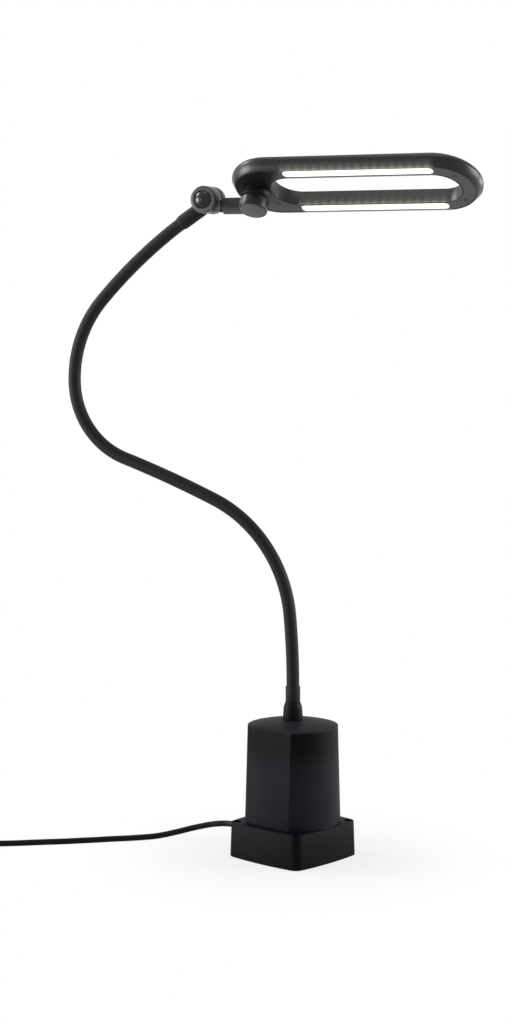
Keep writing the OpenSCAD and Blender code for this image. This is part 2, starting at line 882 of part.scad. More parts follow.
// Sleeve of a stretch: a ball closes its upper end, and a socket takes the ball below it
module neck_sleeve(i) {
  last = len(link_lens) - 1;
  from = i == 0 ? 0 : link_gap;
  bore_end = i == last ? link_lens[i] + eps : link_lens[i] - link_gap;
  color(satin_black)
    difference() {
      union() {
        bent_bar(i, neck_r, from, link_lens[i]);
        if (i < last) neck_frame(i + 1) rotate([0, 90, 0]) sphere(ball_r);
        if (i == 0) disc(neck_r, collar_end, neck_start + eps);
      }
      bent_bar(i, neck_r - neck_skin, from - eps, bore_end);
      if (i == 0) disc(neck_r - neck_skin, collar_end - eps, neck_start + 2 * eps);
      if (i > 0) neck_frame(i) rotate([0, 90, 0]) sphere(socket_r);
    }
}

// Steel tube inside a stretch
module neck_core(i) {
  last = len(link_lens) - 1;
  from = i == 0 ? 0 : socket_r + free_gap;
  to = link_lens[i] - (i == last ? ferrule_grip + free_gap : link_gap + free_gap);
  color("#8d8f93")
    difference() {
      union() {
        bent_bar(i, core_r, from, to);
        if (i == 0) disc(core_r, collar_end, neck_start + eps);
      }
      bent_bar(i, neck_bore_r, from - eps, to + eps);
      if (i == 0) disc(neck_bore_r, collar_end - eps, neck_start + 2 * eps);
    }
}

// Parts in line with the neck's upper end
module end_rod(r, from, to) {
  translate([neck_end[0], 0, neck_end[1]]) rotate([0, 90 - neck_end_angle, 0]) disc(r, from, to);
}

module upper_sleeve() {
  reach = hub_reach - hub_r - free_gap;
  bore = neck_r + free_gap;
  color(satin_black)
    difference() {
      end_rod(bore + cuff_wall, -upper_cuff_len, reach);
      end_rod(bore, -upper_cuff_len - eps, reach + eps);
    }
}

module neck_ferrule() {
  color(steel) {
    end_rod(ferrule_r, 0, hub_reach - ferrule_stop);
    end_rod(neck_r - neck_skin - free_gap, -ferrule_grip, eps);
  }
}

// Tilt hub, drawn along its own axis: heights here run towards the front, which is -Y
module tilt_disc_rear() {
  color("#3b3b3e")
    difference() {
      hub_frame() {
        disc(hub_r, rear_taper_t - rear_y, -rear_front_y);
        translate([0, 0, -rear_y]) cylinder(r1 = hub_r - rear_taper, r2 = hub_r, h = rear_taper_t);
      }
      end_rod(ferrule_r + seat_fit, 0, hub_reach - ferrule_stop);
      hub_frame() {
        disc(hub_bolt_r + seat_fit, -rear_y - eps, -rear_front_y + eps);
        disc(hub_nut_r + seat_fit, -rear_y - eps, -rear_y + rear_cap_seat + hub_nut_t);
        disc(cap_r + seat_fit, -rear_y - eps, -rear_y + rear_cap_seat);
      }
    }
}

module tilt_washer() {
  color("#8a6f3a")
    hub_frame()
      difference() {
        disc(hub_r - washer_inset, -rear_front_y, -washer_front_y);
        disc(hub_bolt_r + seat_fit, -rear_front_y - eps, -washer_front_y + eps);
      }
}

module tilt_bolt() {
  head_end = -barrel_front_y - cap_seat;
  color(steel)
    hub_frame() {
      disc(hub_bolt_r, -rear_y + rear_cap_seat, head_end - hub_head_t + eps);
      disc(hub_head_r, head_end - hub_head_t, head_end - free_gap);
    }
}

module tilt_nut() {
  color(steel)
    hub_frame()
      difference() {
        translate([0, 0, -rear_y + rear_cap_seat]) cylinder(r = hub_nut_r, h = hub_nut_t, $fn = 6);
        disc(hub_bolt_r + run_fit, -rear_y, -rear_front_y);
      }
}

// Domed cap of a given rise on a short round base
module domed_cap(base, rise) {
  ball = (cap_r ^ 2 + rise ^ 2) / (2 * rise);
  disc(cap_r, 0, base);
  intersection() {
    disc(cap_r, base - eps, base + rise);
    translate([0, 0, base + rise - ball]) sphere(ball, $fn = 96);
  }
}

module rear_cap() {
  color("#2c2c2f")
    hub_frame()
      translate([0, 0, -rear_y + rear_cap_seat])
        mirror([0, 0, 1])
          domed_cap(rear_cap_seat, rear_dome);
}

module tilt_barrel() {
  head_from = -barrel_front_y - cap_seat - hub_head_t - run_fit;
  color(hub_grey)
    difference() {
      union() {
        hub_frame() disc(hub_r, -barrel_back_y, -barrel_front_y);
        translate([hub[0], roll_y - bar_w / 2, roll_z - bar_h / 2]) cube([lug_reach, bar_w, bar_h]);
      }
      hub_frame() {
        disc(hub_bolt_r + run_fit, -barrel_back_y - eps, -barrel_front_y);
        disc(hub_head_r + free_gap, head_from, -barrel_front_y + eps);
        disc(cap_r + seat_fit, -barrel_front_y - cap_seat, -barrel_front_y + eps);
      }
      translate([seam_x - spigot_depth - free_gap, roll_y, roll_z])
        rotate([0, 90, 0])
          disc(spigot_r + run_fit, 0, spigot_depth + cut_past);
      translate([seam_x - groove_back, barrel_back_y + eps, roll_z])
        rotate([90, 0, 0])
          disc(grub_r + run_fit, 0, barrel_back_y - roll_y);
    }
}

module dome_cap() {
  color("#0b0b0c")
    hub_frame()
      translate([0, 0, -barrel_front_y - cap_seat])
        domed_cap(cap_seat - free_gap, front_dome);
}

module roll_grub_screw() {
  tip = roll_y + spigot_r - groove_depth + free_gap;
  color(steel)
    translate([seam_x - groove_back, barrel_back_y - free_gap, roll_z])
      rotate([90, 0, 0])
        disc(grub_r, 0, barrel_back_y - free_gap - tip);
}

// Arm
module arm_spigot() {
  color(steel)
    translate([seam_x, roll_y, roll_z])
      rotate([0, 90, 0])
        difference() {
          disc(spigot_r, -spigot_depth, spigot_in_bar);
          difference() {
            disc(spigot_r + cut_past, -groove_back - groove_w / 2, -groove_back + groove_w / 2);
            disc(spigot_r - groove_depth, -groove_back - groove_w, -groove_back + groove_w);
          }
        }
}

module arm_bar() {
  bar_from = -(arm_reach - lug_reach - free_gap);
  color("#3a3a3d")
    roll_frame()
      difference() {
        union() {
          translate([bar_from, -bar_w / 2, knuckle_low]) cube([-bar_from, bar_w, bar_h]);
          disc(knuckle_r, knuckle_low, knuckle_high);
        }
        disc(swivel_bolt_r + run_fit, knuckle_low - eps, knuckle_high + eps);
        disc(swivel_cavity_r, knuckle_low - eps, knuckle_high - knuckle_wall);
        disc(knuckle_cap_r + seat_fit, knuckle_low - eps, knuckle_low + knuckle_cap_t);
        translate([bar_from - cut_past, 0, bar_mid])
          rotate([0, 90, 0])
            disc(spigot_r + seat_fit / 2, 0, cut_past + spigot_in_bar);
      }
}

module knuckle_cap() {
  color(hub_grey) roll_frame() disc(knuckle_cap_r, knuckle_low, knuckle_low + knuckle_cap_t);
}

// Swivel
module swivel_bolt() {
  color(steel)
    roll_frame() {
      disc(swivel_bolt_r, knuckle_low + knuckle_cap_t + free_gap, plate_high + eps);
      disc(swivel_head_r, plate_high, plate_high + swivel_head_t);
    }
}

module swivel_washer() {
  color("#17171a")
    roll_frame()
      difference() {
        disc(swivel_washer_r, knuckle_high + run_fit, -boss_h);
        disc(swivel_bolt_r + seat_fit, knuckle_high, -boss_h + eps);
      }
}

module swivel_nut() {
  nut_top = knuckle_high - knuckle_wall - seat_fit;
  color(steel)
    roll_frame()
      difference() {
        translate([0, 0, nut_top - swivel_nut_t]) cylinder(r = swivel_nut_r, h = swivel_nut_t, $fn = 6);
        disc(swivel_bolt_r + run_fit, knuckle_low, knuckle_high);
      }
}

// Head
function head_profile(low, high, top, edge) = concat(
  [[0, 0], [low, 0], [high, flare_h]],
  [for (a = [0:15:90]) [high - edge + edge * cos(a), top - edge + edge * sin(a)]],
  [[0, top]]
);

// A stadium body whose side follows a profile
module head_body(low, high, top, edge) {
  half = head_profile(low, high, top, edge);
  whole = concat(half, [for (i = [len(half) - 2:-1:1]) [-half[i][0], half[i][1]]]);
  translate([head_left, 0, 0]) rotate([0, 0, 90]) rotate_extrude(angle = 180, $fn = 128) polygon(half);
  translate([head_right, 0, 0]) rotate([0, 0, -90]) rotate_extrude(angle = 180, $fn = 128) polygon(half);
  translate([head_left, 0, 0]) rotate([90, 0, 90]) linear_extrude(head_span) polygon(whole);
}

module stadium(r, from, to) {
  translate([from, 0]) circle(r, $fn = 128);
  translate([to, 0]) circle(r, $fn = 128);
  translate([from, -r]) square([to - from, 2 * r]);
}

module head_shell() {
  color("#333338")
    roll_frame()
      difference() {
        union() {
          difference() {
            head_body(head_r, head_max_r, head_t, head_edge_r);
            difference() {
              translate([0, 0, -eps])
                head_body(head_r - rim_t, head_max_r - head_wall, ceiling_n, inner_edge_r);
              linear_extrude(head_t) stadium(slot_r + rim_t, slot_left, slot_right);
            }
          }
          for (p = head_screw_spots)
            translate([p[0], p[1], 0])
              disc(head_boss_r, plate_high + seat_fit, ceiling_n + eps);
        }
        translate([0, 0, -cut_past]) linear_extrude(head_t + 2 * cut_past) stadium(slot_r, slot_left, slot_right);
        for (p = head_screw_spots)
          translate([p[0], p[1], 0])
            disc(head_screw_r + seat_fit / 2, 0, plate_low + head_screw_sink + head_screw_len + cut_past);
      }
}

module head_frame() {
  color(plate_grey)
    roll_frame()
      difference() {
        union() {
          translate([0, 0, plate_low])
            linear_extrude(plate_t)
              difference() {
                stadium(head_r - rim_t - seat_fit, head_left, head_right);
                stadium(slot_r + rim_t + seat_fit, slot_left, slot_right);
              }
          disc(knuckle_r, -boss_h, plate_low + eps);
        }
        for (s = [-1, 1])
          translate([0, s * arm_mid, -eps])
            linear_extrude(head_t)
              stadium(strip_w / 2 + seat_fit, strip_mid - strip_half, strip_mid + strip_half);
        for (p = head_screw_spots)
          translate([p[0], p[1], 0]) {
            disc(head_screw_r + seat_fit, -eps, plate_high + eps);
            disc(head_screw_head_r + seat_fit, -eps, plate_low + head_screw_sink);
          }
        disc(swivel_bolt_r + seat_fit, -boss_h - eps, plate_high + eps);
      }
}

module head_screws() {
  color("#7d7e82")
    roll_frame()
      for (p = head_screw_spots)
        translate([p[0], p[1], 0]) {
          disc(head_screw_head_r, 0, plate_low + head_screw_sink);
          disc(head_screw_r, eps, plate_low + head_screw_sink + head_screw_len);
        }
}

module strip_bar(s, w, len, from, to) {
  translate([strip_mid - len / 2, s * arm_mid - w / 2, from]) cube([len, w, to - from]);
}

module led_rails() {
  color(steel)
    roll_frame()
      for (s = [-1, 1])
        strip_bar(s, rail_w, strip_len - rail_short, board_strip_n + board_strip_t, ceiling_n - seat_fit);
}

module led_boards() {
  color("#e9e9e4")
    roll_frame()
      for (s = [-1, 1])
        strip_bar(s, board_strip_w, strip_len - board_short, board_strip_n, board_strip_n + board_strip_t);
}

module led_chips() {
  color("#f4e9a8")
    roll_frame()
      for (s = [-1, 1])
        for (k = [0:chip_count - 1])
          translate([strip_mid + (k - (chip_count - 1) / 2) * chip_pitch, s * arm_mid, chip_n])
            cube([chip_w, chip_w, chip_t], center = true);
}

module lens(s) {
  color("#f6f6ee")
    roll_frame()
      translate([0, s * arm_mid, 0]) {
        linear_extrude(plate_high + seat_fit + eps)
          stadium(strip_w / 2, strip_mid - strip_half, strip_mid + strip_half);
        translate([0, 0, plate_high + seat_fit])
          linear_extrude(lens_flange_t)
            stadium(strip_w / 2 + lens_flange_lip, strip_mid - strip_half, strip_mid + strip_half);
      }
}

// Lead, coil and plug
module strain_relief() {
  color(satin_black)
    base_frame()
      translate([0, 0, cord_z])
        rotate([0, -90, 0]) {
          disc(relief_r, relief_in - relief_flange, relief_in);
          disc(relief_neck_r, relief_in - eps, relief_seat + eps);
          translate([0, 0, relief_seat]) cylinder(r1 = relief_r, r2 = relief_end_r, h = relief_len);
        }
}

module mains_lead() {
  color(satin_black) swept_tube(lead_path, cord_d / 2, cord_sides);
}

module lead_coil() {
  color(satin_black) swept_tube(coil_path, cord_d / 2, coil_sides);
}

module coil_tie() {
  inner_r = coil_radius(coil_turns / 2) - cord_d / 2 - free_gap;
  outer_r = coil_r + cord_d / 2 + free_gap;
  high = coil_low + coil_rise + cord_d / 2 + free_gap;
  color("#101012")
    translate([coil_centre[0], coil_centre[1], 0])
      rotate([0, 0, tie_angle])
        difference() {
          translate([inner_r - tie_t, -tie_w / 2, 0])
            cube([outer_r - inner_r + 2 * tie_t, tie_w, high + tie_t]);
          translate([inner_r, -tie_w, tie_t]) cube([outer_r - inner_r, 2 * tie_w, high - tie_t]);
        }
}

plug_half_h = coil_low + coil_rise;
plug_boot = 14;
plug_slice = 1;

module plug_body() {
  color(satin_black)
    plug_frame() {
      rotate([0, 90, 0]) cylinder(r1 = relief_end_r, r2 = plug_half_h * 0.7, h = plug_boot);
      hull() {
        translate([plug_boot - plug_slice, 0, 0])
          rotate([0, 90, 0])
            cylinder(r = plug_half_h * 0.7, h = plug_slice, $fn = 32);
        for (y = [-1, 1])
          translate([plug_boot + plug_len - plug_slice, y * (plug_w / 2 - plug_half_h), 0])
            rotate([0, 90, 0])
              cylinder(r = plug_half_h, h = plug_slice, $fn = 32);
      }
    }
}

module plug_pins() {
  color(steel)
    plug_frame()
      for (y = [-1, 1])
        translate([plug_boot + plug_len, y * pin_pitch / 2, 0])
          rotate([0, 90, 0])
            cylinder(r = pin_r, h = pin_len);
}

anti_slip_pad();
foot_tray();
ballast_block();
ballast_bolt();
tower_shell();
tower_screws();
board_standoffs();
driver_board();
driver_transformer();
driver_capacitors();
terminal_block();
switch_bezel();
switch_rocker();
neck_collar();
neck_stud();
neck_washer();
neck_nut();
lower_sleeve();
strain_relief();
mains_lead();
lead_coil();
coil_tie();
plug_body();
plug_pins();
neck_sleeve(0);  // neck_sleeve_1
neck_sleeve(1);  // neck_sleeve_2
neck_sleeve(2);  // neck_sleeve_3
neck_sleeve(3);  // neck_sleeve_4
neck_sleeve(4);  // neck_sleeve_5
neck_sleeve(5);  // neck_sleeve_6
neck_core(0);  // neck_core_1
neck_core(1);  // neck_core_2
neck_core(2);  // neck_core_3
neck_core(3);  // neck_core_4
neck_core(4);  // neck_core_5
neck_core(5);  // neck_core_6
upper_sleeve();
neck_ferrule();
tilt_disc_rear();
tilt_washer();
tilt_bolt();
tilt_nut();
rear_cap();
tilt_barrel();
dome_cap();
roll_grub_screw();
arm_spigot();
arm_bar();
knuckle_cap();
swivel_bolt();
swivel_washer();
swivel_nut();
head_shell();
head_frame();
head_screws();
led_rails();
led_boards();
led_chips();
lens(-1);  // lens_near
lens(1);  // lens_far
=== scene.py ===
# %% [markdown]
# # A workbench light with a bendy neck
# The real lamp has a heavy square foot, a round tower with one flat side, a gooseneck in black
# rubber, a tilting hub, and a long ring-shaped head with two lit strips on its underside.
# The imported CAD model is loaded first. It is the skeleton: every piece made below goes where the
# CAD says and takes the place of the plain solid there, and all but the neck's skins ride on one of its
# bodies.

# %% Load the imported frame
import json
import math

import bmesh
import bpy
from mathutils import Matrix, Vector


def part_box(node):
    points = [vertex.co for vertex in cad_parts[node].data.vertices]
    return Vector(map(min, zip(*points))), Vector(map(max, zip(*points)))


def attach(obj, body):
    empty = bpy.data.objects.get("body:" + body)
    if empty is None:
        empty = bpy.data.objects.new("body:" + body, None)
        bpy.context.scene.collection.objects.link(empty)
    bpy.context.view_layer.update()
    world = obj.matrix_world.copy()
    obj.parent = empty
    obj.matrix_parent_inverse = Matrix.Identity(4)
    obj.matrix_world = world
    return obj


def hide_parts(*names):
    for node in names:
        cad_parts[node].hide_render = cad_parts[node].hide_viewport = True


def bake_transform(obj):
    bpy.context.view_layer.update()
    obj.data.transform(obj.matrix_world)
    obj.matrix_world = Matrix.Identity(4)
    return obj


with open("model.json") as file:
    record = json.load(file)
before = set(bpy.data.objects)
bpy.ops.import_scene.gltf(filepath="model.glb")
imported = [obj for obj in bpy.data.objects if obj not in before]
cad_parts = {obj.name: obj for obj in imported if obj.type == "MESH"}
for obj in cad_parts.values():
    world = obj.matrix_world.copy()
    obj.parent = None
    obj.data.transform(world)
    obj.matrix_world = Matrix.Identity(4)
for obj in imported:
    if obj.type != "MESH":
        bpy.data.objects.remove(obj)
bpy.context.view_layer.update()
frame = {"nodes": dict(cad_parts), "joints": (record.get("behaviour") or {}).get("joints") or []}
scene = bpy.context.scene
joints = {joint["name"]: joint for joint in frame["joints"]}
MM = 0.001

# %% [markdown]
# ## The camera
# The picture was taken from a little below the head, with the lamp turned about twenty degrees.
# A long lens from far off keeps upright lines upright. The place of the camera is given by how far
# it stands back, how far it is moved sideways and how high it is, so each can be tuned alone.

# %% Camera at the photograph's viewing angle
VIEW_TURN = math.radians(21.5)
VIEW_DIP = math.radians(5.548)
VIEW_BACK = 2.120
VIEW_SIDE = -0.0371
VIEW_HEIGHT = 0.5555
LENS_MM = 75.1
SENSOR_MM = 36
backwards = Vector((math.sin(VIEW_TURN), -math.cos(VIEW_TURN), 0))
sideways = Vector((math.cos(VIEW_TURN), math.sin(VIEW_TURN), 0))
lens = bpy.data.cameras.new("photo_camera")
lens.lens = LENS_MM
lens.sensor_width = SENSOR_MM
camera = bpy.data.objects.new("photo_camera", lens)
camera.location = backwards * VIEW_BACK + sideways * VIEW_SIDE + Vector((0, 0, VIEW_HEIGHT))
camera.rotation_euler = (math.pi / 2 - VIEW_DIP, 0, VIEW_TURN)
scene.collection.objects.link(camera)
scene.camera = camera
print("camera at", [round(x, 3) for x in camera.location])

# %% [markdown]
# ## Shader sums written as Python
# A finish is a small web of nodes. Wiring them by hand hides the idea, so one class wraps an output
# socket: adding or multiplying two wraps adds a Math node, and `node` adds any other kind. The
# settings of a node are set before its sockets, because they can change which sockets it has.

# %% A wrapped socket
def feed(tree, socket, value):
    """Links a wire to a socket, or sets a plain value on it."""
    if isinstance(value, Wire):
        tree.links.new(value.socket, socket)
    else:
        socket.default_value = value


class Wire:
    """One output of a shader node, so that shader sums read like sums."""

    def __init__(self, tree, socket=None):
        self.tree = tree
        self.socket = socket

    def node(self, kind, settings, sockets, out=0):
        """Adds a node: its settings first, then the values or links of its sockets."""
        made = self.tree.nodes.new(kind)
        for name, value in settings.items():
            setattr(made, name, value)
        for name, value in sockets.items():
            feed(self.tree, made.inputs[name], value)
        return Wire(self.tree, made.outputs[out])

    def maths(self, operation, *values):
        return self.node("ShaderNodeMath", {"operation": operation}, dict(enumerate(values)))

    def most(self, other):
        return self.maths("MAXIMUM", self, other)

    def ramp(self, low, high, shape="SMOOTHSTEP", **ends):
        """0 at `low` and 1 at `high`, whichever is larger. `ends` can change the 0 and the 1."""
        sockets = {"Value": self, "From Min": low, "From Max": high, **ends}
        return self.node("ShaderNodeMapRange", {"interpolation_type": shape}, sockets)

    def __add__(self, other):
        return self.maths("ADD", self, other)

    def __sub__(self, other):
        return self.maths("SUBTRACT", self, other)

    def __rsub__(self, other):
        return self.maths("SUBTRACT", other, self)

    def __mul__(self, other):
        return self.maths("MULTIPLY", self, other)

    __radd__ = __add__
    __rmul__ = __mul__


# %% [markdown]
# ## Finishes
# Moulded plastic is never one flat colour: slow clouds vary its tone and sheen, and the fine grain of
# the mould breaks up its gloss. Both are noise on Object coordinates, so they need no unwrapping and
# stay on the piece when it moves. A finish is a function from place to shader sockets.

# %% Colour, noise and moulded plastic
CLOUD = 22 * MM
GRAIN = 0.6 * MM
SHEEN_SPREAD = 0.12


def paint(code):
    """A screen colour such as #2a2a2e as the linear colour that a shader reads."""
    parts = [int(code[i : i + 2], 16) / 255 for i in (1, 3, 5)]
    return (*[p / 12.92 if p < 0.04 else ((p + 0.055) / 1.055) ** 2.4 for p in parts], 1)


def finish(name, build):
    """A material whose build function gives the sockets of its shader from Object coordinates."""
    material = bpy.data.materials.new(name)
    material.use_nodes = True
    tree = material.node_tree
    shader = tree.nodes["Principled BSDF"]
    place = Wire(tree).node("ShaderNodeTexCoord", {}, {}, "Object")
    for socket, value in build(place).items():
        feed(tree, shader.inputs[socket], value)
    print("finish", name, "with", len(tree.nodes), "nodes")
    return material


def specks(place, size, detail=2.0):
    """Soft noise whose lumps are about `size` metres across."""
    sockets = {"Vector": place, "Scale": 1 / size, "Detail": detail}
    return place.node("ShaderNodeTexNoise", {}, sockets)


def blended(share, first, second):
    return share.node("ShaderNodeMix", {"data_type": "RGBA"}, {0: share, 6: first, 7: second}, 2)


def dented(height, depth):
    """A Bump node that reads a height from 0 to 1 as dents of `depth` metres."""
    return height.node("ShaderNodeBump", {}, {"Height": height, "Distance": depth})


def grained(place, grain=GRAIN):
    """Slow clouds, fine grain, and the tone that the two give together."""
    cloud = specks(place, CLOUD)
    grains = specks(place, grain, 1.0)
    return cloud, grains, cloud * 0.7 + grains * 0.3


def moulded(name, dark, light, rough, gloss=0.2, grain=GRAIN, depth=0.03 * MM, **extra):
    """Moulded plastic: cloudy colour, fine grain, and a sheen that wanders a little."""

    def build(place):
        cloud, grains, tone = grained(place, grain)
        return {
            "Base Color": blended(tone, paint(dark), paint(light)),
            "Roughness": cloud * SHEEN_SPREAD + (rough - SHEEN_SPREAD / 2),
            "Normal": dented(grains, depth),
            "Specular IOR Level": gloss,
            **extra,
        }

    return finish(name, build)


# %% [markdown]
# ## Helpers for the pieces
# Most pieces of a lamp are turned, cut from a flat outline or swept. `turned` spins an outline
# about an axis, as a lathe does. `joined` bridges a row of rings into a wall. `eased` rounds the
# sharp edges, because no moulded edge is a knife edge. `settle` closes the mesh, marks which edges
# stay crisp, and hands the piece over.

# %% Rings, rims and walls
ACROSS = Vector((1, 0, 0))
DEEP = Vector((0, 1, 0))
UPRIGHT = Vector((0, 0, 1))


def verts_of(geom):
    return [g for g in geom if isinstance(g, bmesh.types.BMVert)]


def rim_of(verts):
    """The edges of a ring of corners, in the order of the corners."""
    return list(dict.fromkeys(e for v in verts for e in v.link_edges))


def circle(bm, radius, sides, matrix):
    return bmesh.ops.create_circle(bm, radius=radius, segments=sides, matrix=matrix)["verts"]


def hole_ring(bm, centre, radius, sides=32):
    """A plain ring of edges, to be the rim of a hole or of a round step."""
    return rim_of(circle(bm, radius, sides, Matrix.Translation(centre)))


def joined(bm, rings, capped=False):
    """Bridges each ring of edges to the next, and closes both ends where that is asked."""
    for near, far in zip(rings, rings[1:]):
        bmesh.ops.bridge_loops(bm, edges=near + far)
    if capped:
        for ring in (rings[0], rings[-1]):
            bmesh.ops.edgeloop_fill(bm, edges=ring)


def lifted_rim(bm, edges, step):
    """Extrudes a rim by a step, and gives the corners and the edges of the new rim."""
    verts = verts_of(bmesh.ops.extrude_edge_only(bm, edges=edges)["geom"])
    bmesh.ops.translate(bm, verts=verts, vec=step)
    held = set(verts)
    return verts, [e for e in bm.edges if held.issuperset(e.verts)]


def filled(bm, edges):
    bmesh.ops.triangle_fill(bm, edges=edges, use_beauty=True, normal=UPRIGHT)


def moved(bm, matrix):
    bmesh.ops.transform(bm, matrix=matrix, verts=bm.verts)


# %% Turning, easing and settling
SIDES = 96
CRISP = math.radians(35)
CLOSE = 1e-7
MERGE = 1e-6


def turned(bm, outline, axis=UPRIGHT, place=Vector(), sides=SIDES):
    """Spins an outline of (radius, height) corners about an axis, as a lathe does."""
    aim = axis.to_track_quat("Z", "Y").to_matrix()
    corners = [bm.verts.new(place + aim @ Vector((r, 0, h))) for r, h in outline]
    edges = [bm.edges.new(pair) for pair in zip(corners, corners[1:])]
    bmesh.ops.spin(
        bm, geom=corners + edges, cent=place, axis=axis, angle=math.tau, steps=sides, use_merge=True,
    )
    bmesh.ops.remove_doubles(bm, verts=bm.verts, dist=CLOSE)
    bmesh.ops.recalc_face_normals(bm, faces=bm.faces)


def folded(edges, least):
    """The edges between two faces that turn by more than `least` degrees."""
    shared = [e for e in edges if len(e.link_faces) == 2]
    return [e for e in shared if e.calc_face_angle(0) > math.radians(least)]


def eased(bm, width, geom=None, least=30, segments=3, affect="EDGES"):
    """Rounds what is given, or every edge that turns by more than `least` degrees."""
    if geom is None:
        geom = folded(bm.edges, least)
    bmesh.ops.bevel(
        bm, geom=geom, offset=width, offset_type="OFFSET", segments=segments,
        profile=0.5, affect=affect, material=-1, clamp_overlap=True,
    )


def made_object(name, bm, material):
    """Merges doubled corners, points the faces outwards, and makes an object of the mesh."""
    bmesh.ops.remove_doubles(bm, verts=bm.verts, dist=MERGE)
    bmesh.ops.recalc_face_normals(bm, faces=bm.faces)
    for face in bm.faces:
        face.smooth = True
    for edge in bm.edges:
        edge.smooth = len(edge.link_faces) == 2 and edge.calc_face_angle(0) < CRISP
    mesh = bpy.data.meshes.new(name)
    bm.to_mesh(mesh)
    open_edges = sum(1 for e in bm.edges if len(e.link_faces) != 2)
    print(name, len(mesh.polygons), "faces,", open_edges, "open edges")
    bm.free()
    mesh.materials.append(material)
    piece = bpy.data.objects.new(name, mesh)
    scene.collection.objects.link(piece)
    return piece


def settle(name, bm, material, body, node):
    """Makes the piece, lets it ride on a body and hides the CAD node that it stands for."""
    piece = made_object(name, bm, material)
    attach(piece, body)
    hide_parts(node)
    return piece


# %% [markdown]
# ## The mains lead
# The lead leaves the foot through a tapered sleeve, comes down to the table and runs off to the
# left. The picture cuts it off there, so the rest is wound into a neat coil just out of sight. One
# curve with a round bevel follows the same points as the CAD route. Its sheath is soft black PVC.

# %% The route of the lead
BASE_TURN = Matrix.Rotation(math.radians(-21), 4, "Z")
LEAD_D = 6.2 * MM
RELIEF_TIP = 74.265 * MM
LEAD_HEIGHT = 18.5 * MM
LEAD_ROUTE = [
    (-78, 30, 18.5), (-86, 32, 18), (-95, 32, 17), (-104, 32, 15.3), (-113, 30, 13.2), (-122, 28, 10.9),
    (-131, 24, 8.5), (-140, 20, 6.2), (-149, 14, 4.4), (-158, 7.5, 3.4), (-168, 0, 3.2), (-181, -9, 3.1),
    (-194, -17, 3.1), (-207, -26, 3.1), (-221, -35, 3.1), (-235, -44, 3.1), (-249, -52, 3.1),
    (-263, -60, 3.1), (-278, -69, 3.1), (-293, -77, 3.2), (-308, -85, 3.5), (-323, -92, 3.8),
]
COIL_CENTRE = Vector((-374, -63, 0)) * MM
COIL_START = math.radians(-64)
COIL_TURNS = 6.25
COIL_RINGS = 24
COIL_R = 48 * MM
COIL_PITCH = 7.3 * MM
COIL_LOW = 4.1 * MM
COIL_RISE = 6.8 * MM
PLUG_RUN = 2.6 * LEAD_D


def heading(angle):
    return Vector((math.cos(angle), math.sin(angle), 0))


def coil_point(turn):
    """A point of the coil: in along the lower layer, out again along the upper one."""
    climb = min(max(2 * (turn - COIL_TURNS / 2) + 0.5, 0), 1)
    height = COIL_LOW + COIL_RISE * climb * climb * (3 - 2 * climb)
    radius = COIL_R - COIL_PITCH * min(turn, COIL_TURNS - turn)
    return COIL_CENTRE + heading(COIL_START - math.tau * turn) * radius + UPRIGHT * height


relief_tip = BASE_TURN @ Vector((-RELIEF_TIP, 0, LEAD_HEIGHT))
coil = [coil_point(i / COIL_RINGS) for i in range(int(COIL_TURNS * COIL_RINGS) + 1)]
coil_in = coil[0] - heading(COIL_START - math.pi / 2) * LEAD_D
plug_angle = COIL_START - math.tau * COIL_TURNS - math.pi / 2
plug_place = coil[-1] + heading(plug_angle) * PLUG_RUN
lead_points = [relief_tip] + [Vector(p) * MM for p in LEAD_ROUTE] + [coil_in] + coil + [plug_place]
print("lead points:", len(lead_points))

# %% The lead itself
lead_sheath = moulded("lead_sheath", "#101012", "#17171a", 0.46, 0.08, 0.5 * MM, 0.01 * MM)
line = bpy.data.curves.new("mains_lead_sheath", "CURVE")
line.dimensions = "3D"
line.bevel_depth = LEAD_D / 2
line.bevel_resolution = 5
line.resolution_u = 6
line.use_fill_caps = True
spline = line.splines.new("BEZIER")
spline.bezier_points.add(len(lead_points) - 1)
for knot, point in zip(spline.bezier_points, lead_points):
    knot.co = point
    knot.handle_left_type = "AUTO"
    knot.handle_right_type = "AUTO"
line.materials.append(lead_sheath)
lead = bpy.data.objects.new("mains_lead_sheath", line)
scene.collection.objects.link(lead)
lead_length = sum((b - a).length for a, b in zip(lead_points, lead_points[1:]))
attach(lead, "base")
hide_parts("mains_lead", "lead_coil")
print("lead length in m:", round(lead_length, 3))

# %% [markdown]
# ## What is on the lead
# The plug is a flat two-pin body on a ribbed boot, moulded in one with the sheath. It is made
# lying along X, with its boot at the origin, and then turned and set at the end of the lead. Its
# pins are turned. The tie is a strap round all the turns, a rounded loop with a wall of its own.

# %% Plug body
PLUG_BOOT = 14 * MM
PLUG_LENGTH = 36 * MM
PLUG_WIDTH = 35 * MM
PLUG_HALF = COIL_LOW + COIL_RISE
PLUG_EDGE = 1.2 * MM
SLIM_SIDES = 48
BOOT_END = 0.7 * PLUG_HALF
BOOT_START = LEAD_D / 2 + 1 * MM
BOOT_RIBS = 4
RIB_CUT = 0.6 * MM
RIB_STEPS = ((0.0, 0), (0.45, 0), (0.5, RIB_CUT), (0.95, RIB_CUT))
SHOULDER_SHARE = 0.45
SHOULDER_WIDE = 1 * MM
SHOULDER_HIGH = 0.6 * MM
plug_frame = Matrix.Translation(plug_place) @ Matrix.Rotation(plug_angle, 4, "Z")
plug_black = moulded("plug_moulding", "#161618", "#1f1f22", 0.42, gloss=0.3, grain=0.7 * MM)


def flat_round(bm, station, half_wide, half_high):
    """A ring of the plug: a circle pulled wide, standing across X."""
    stand = Matrix.Translation((station, 0, 0)) @ Matrix.Rotation(math.pi / 2, 4, "Y")
    ring = circle(bm, half_high, SLIM_SIDES, stand)
    for vert in ring:
        if abs(vert.co.y) > MERGE:
            vert.co.y += math.copysign(half_wide - half_high, vert.co.y)
    return rim_of(ring)


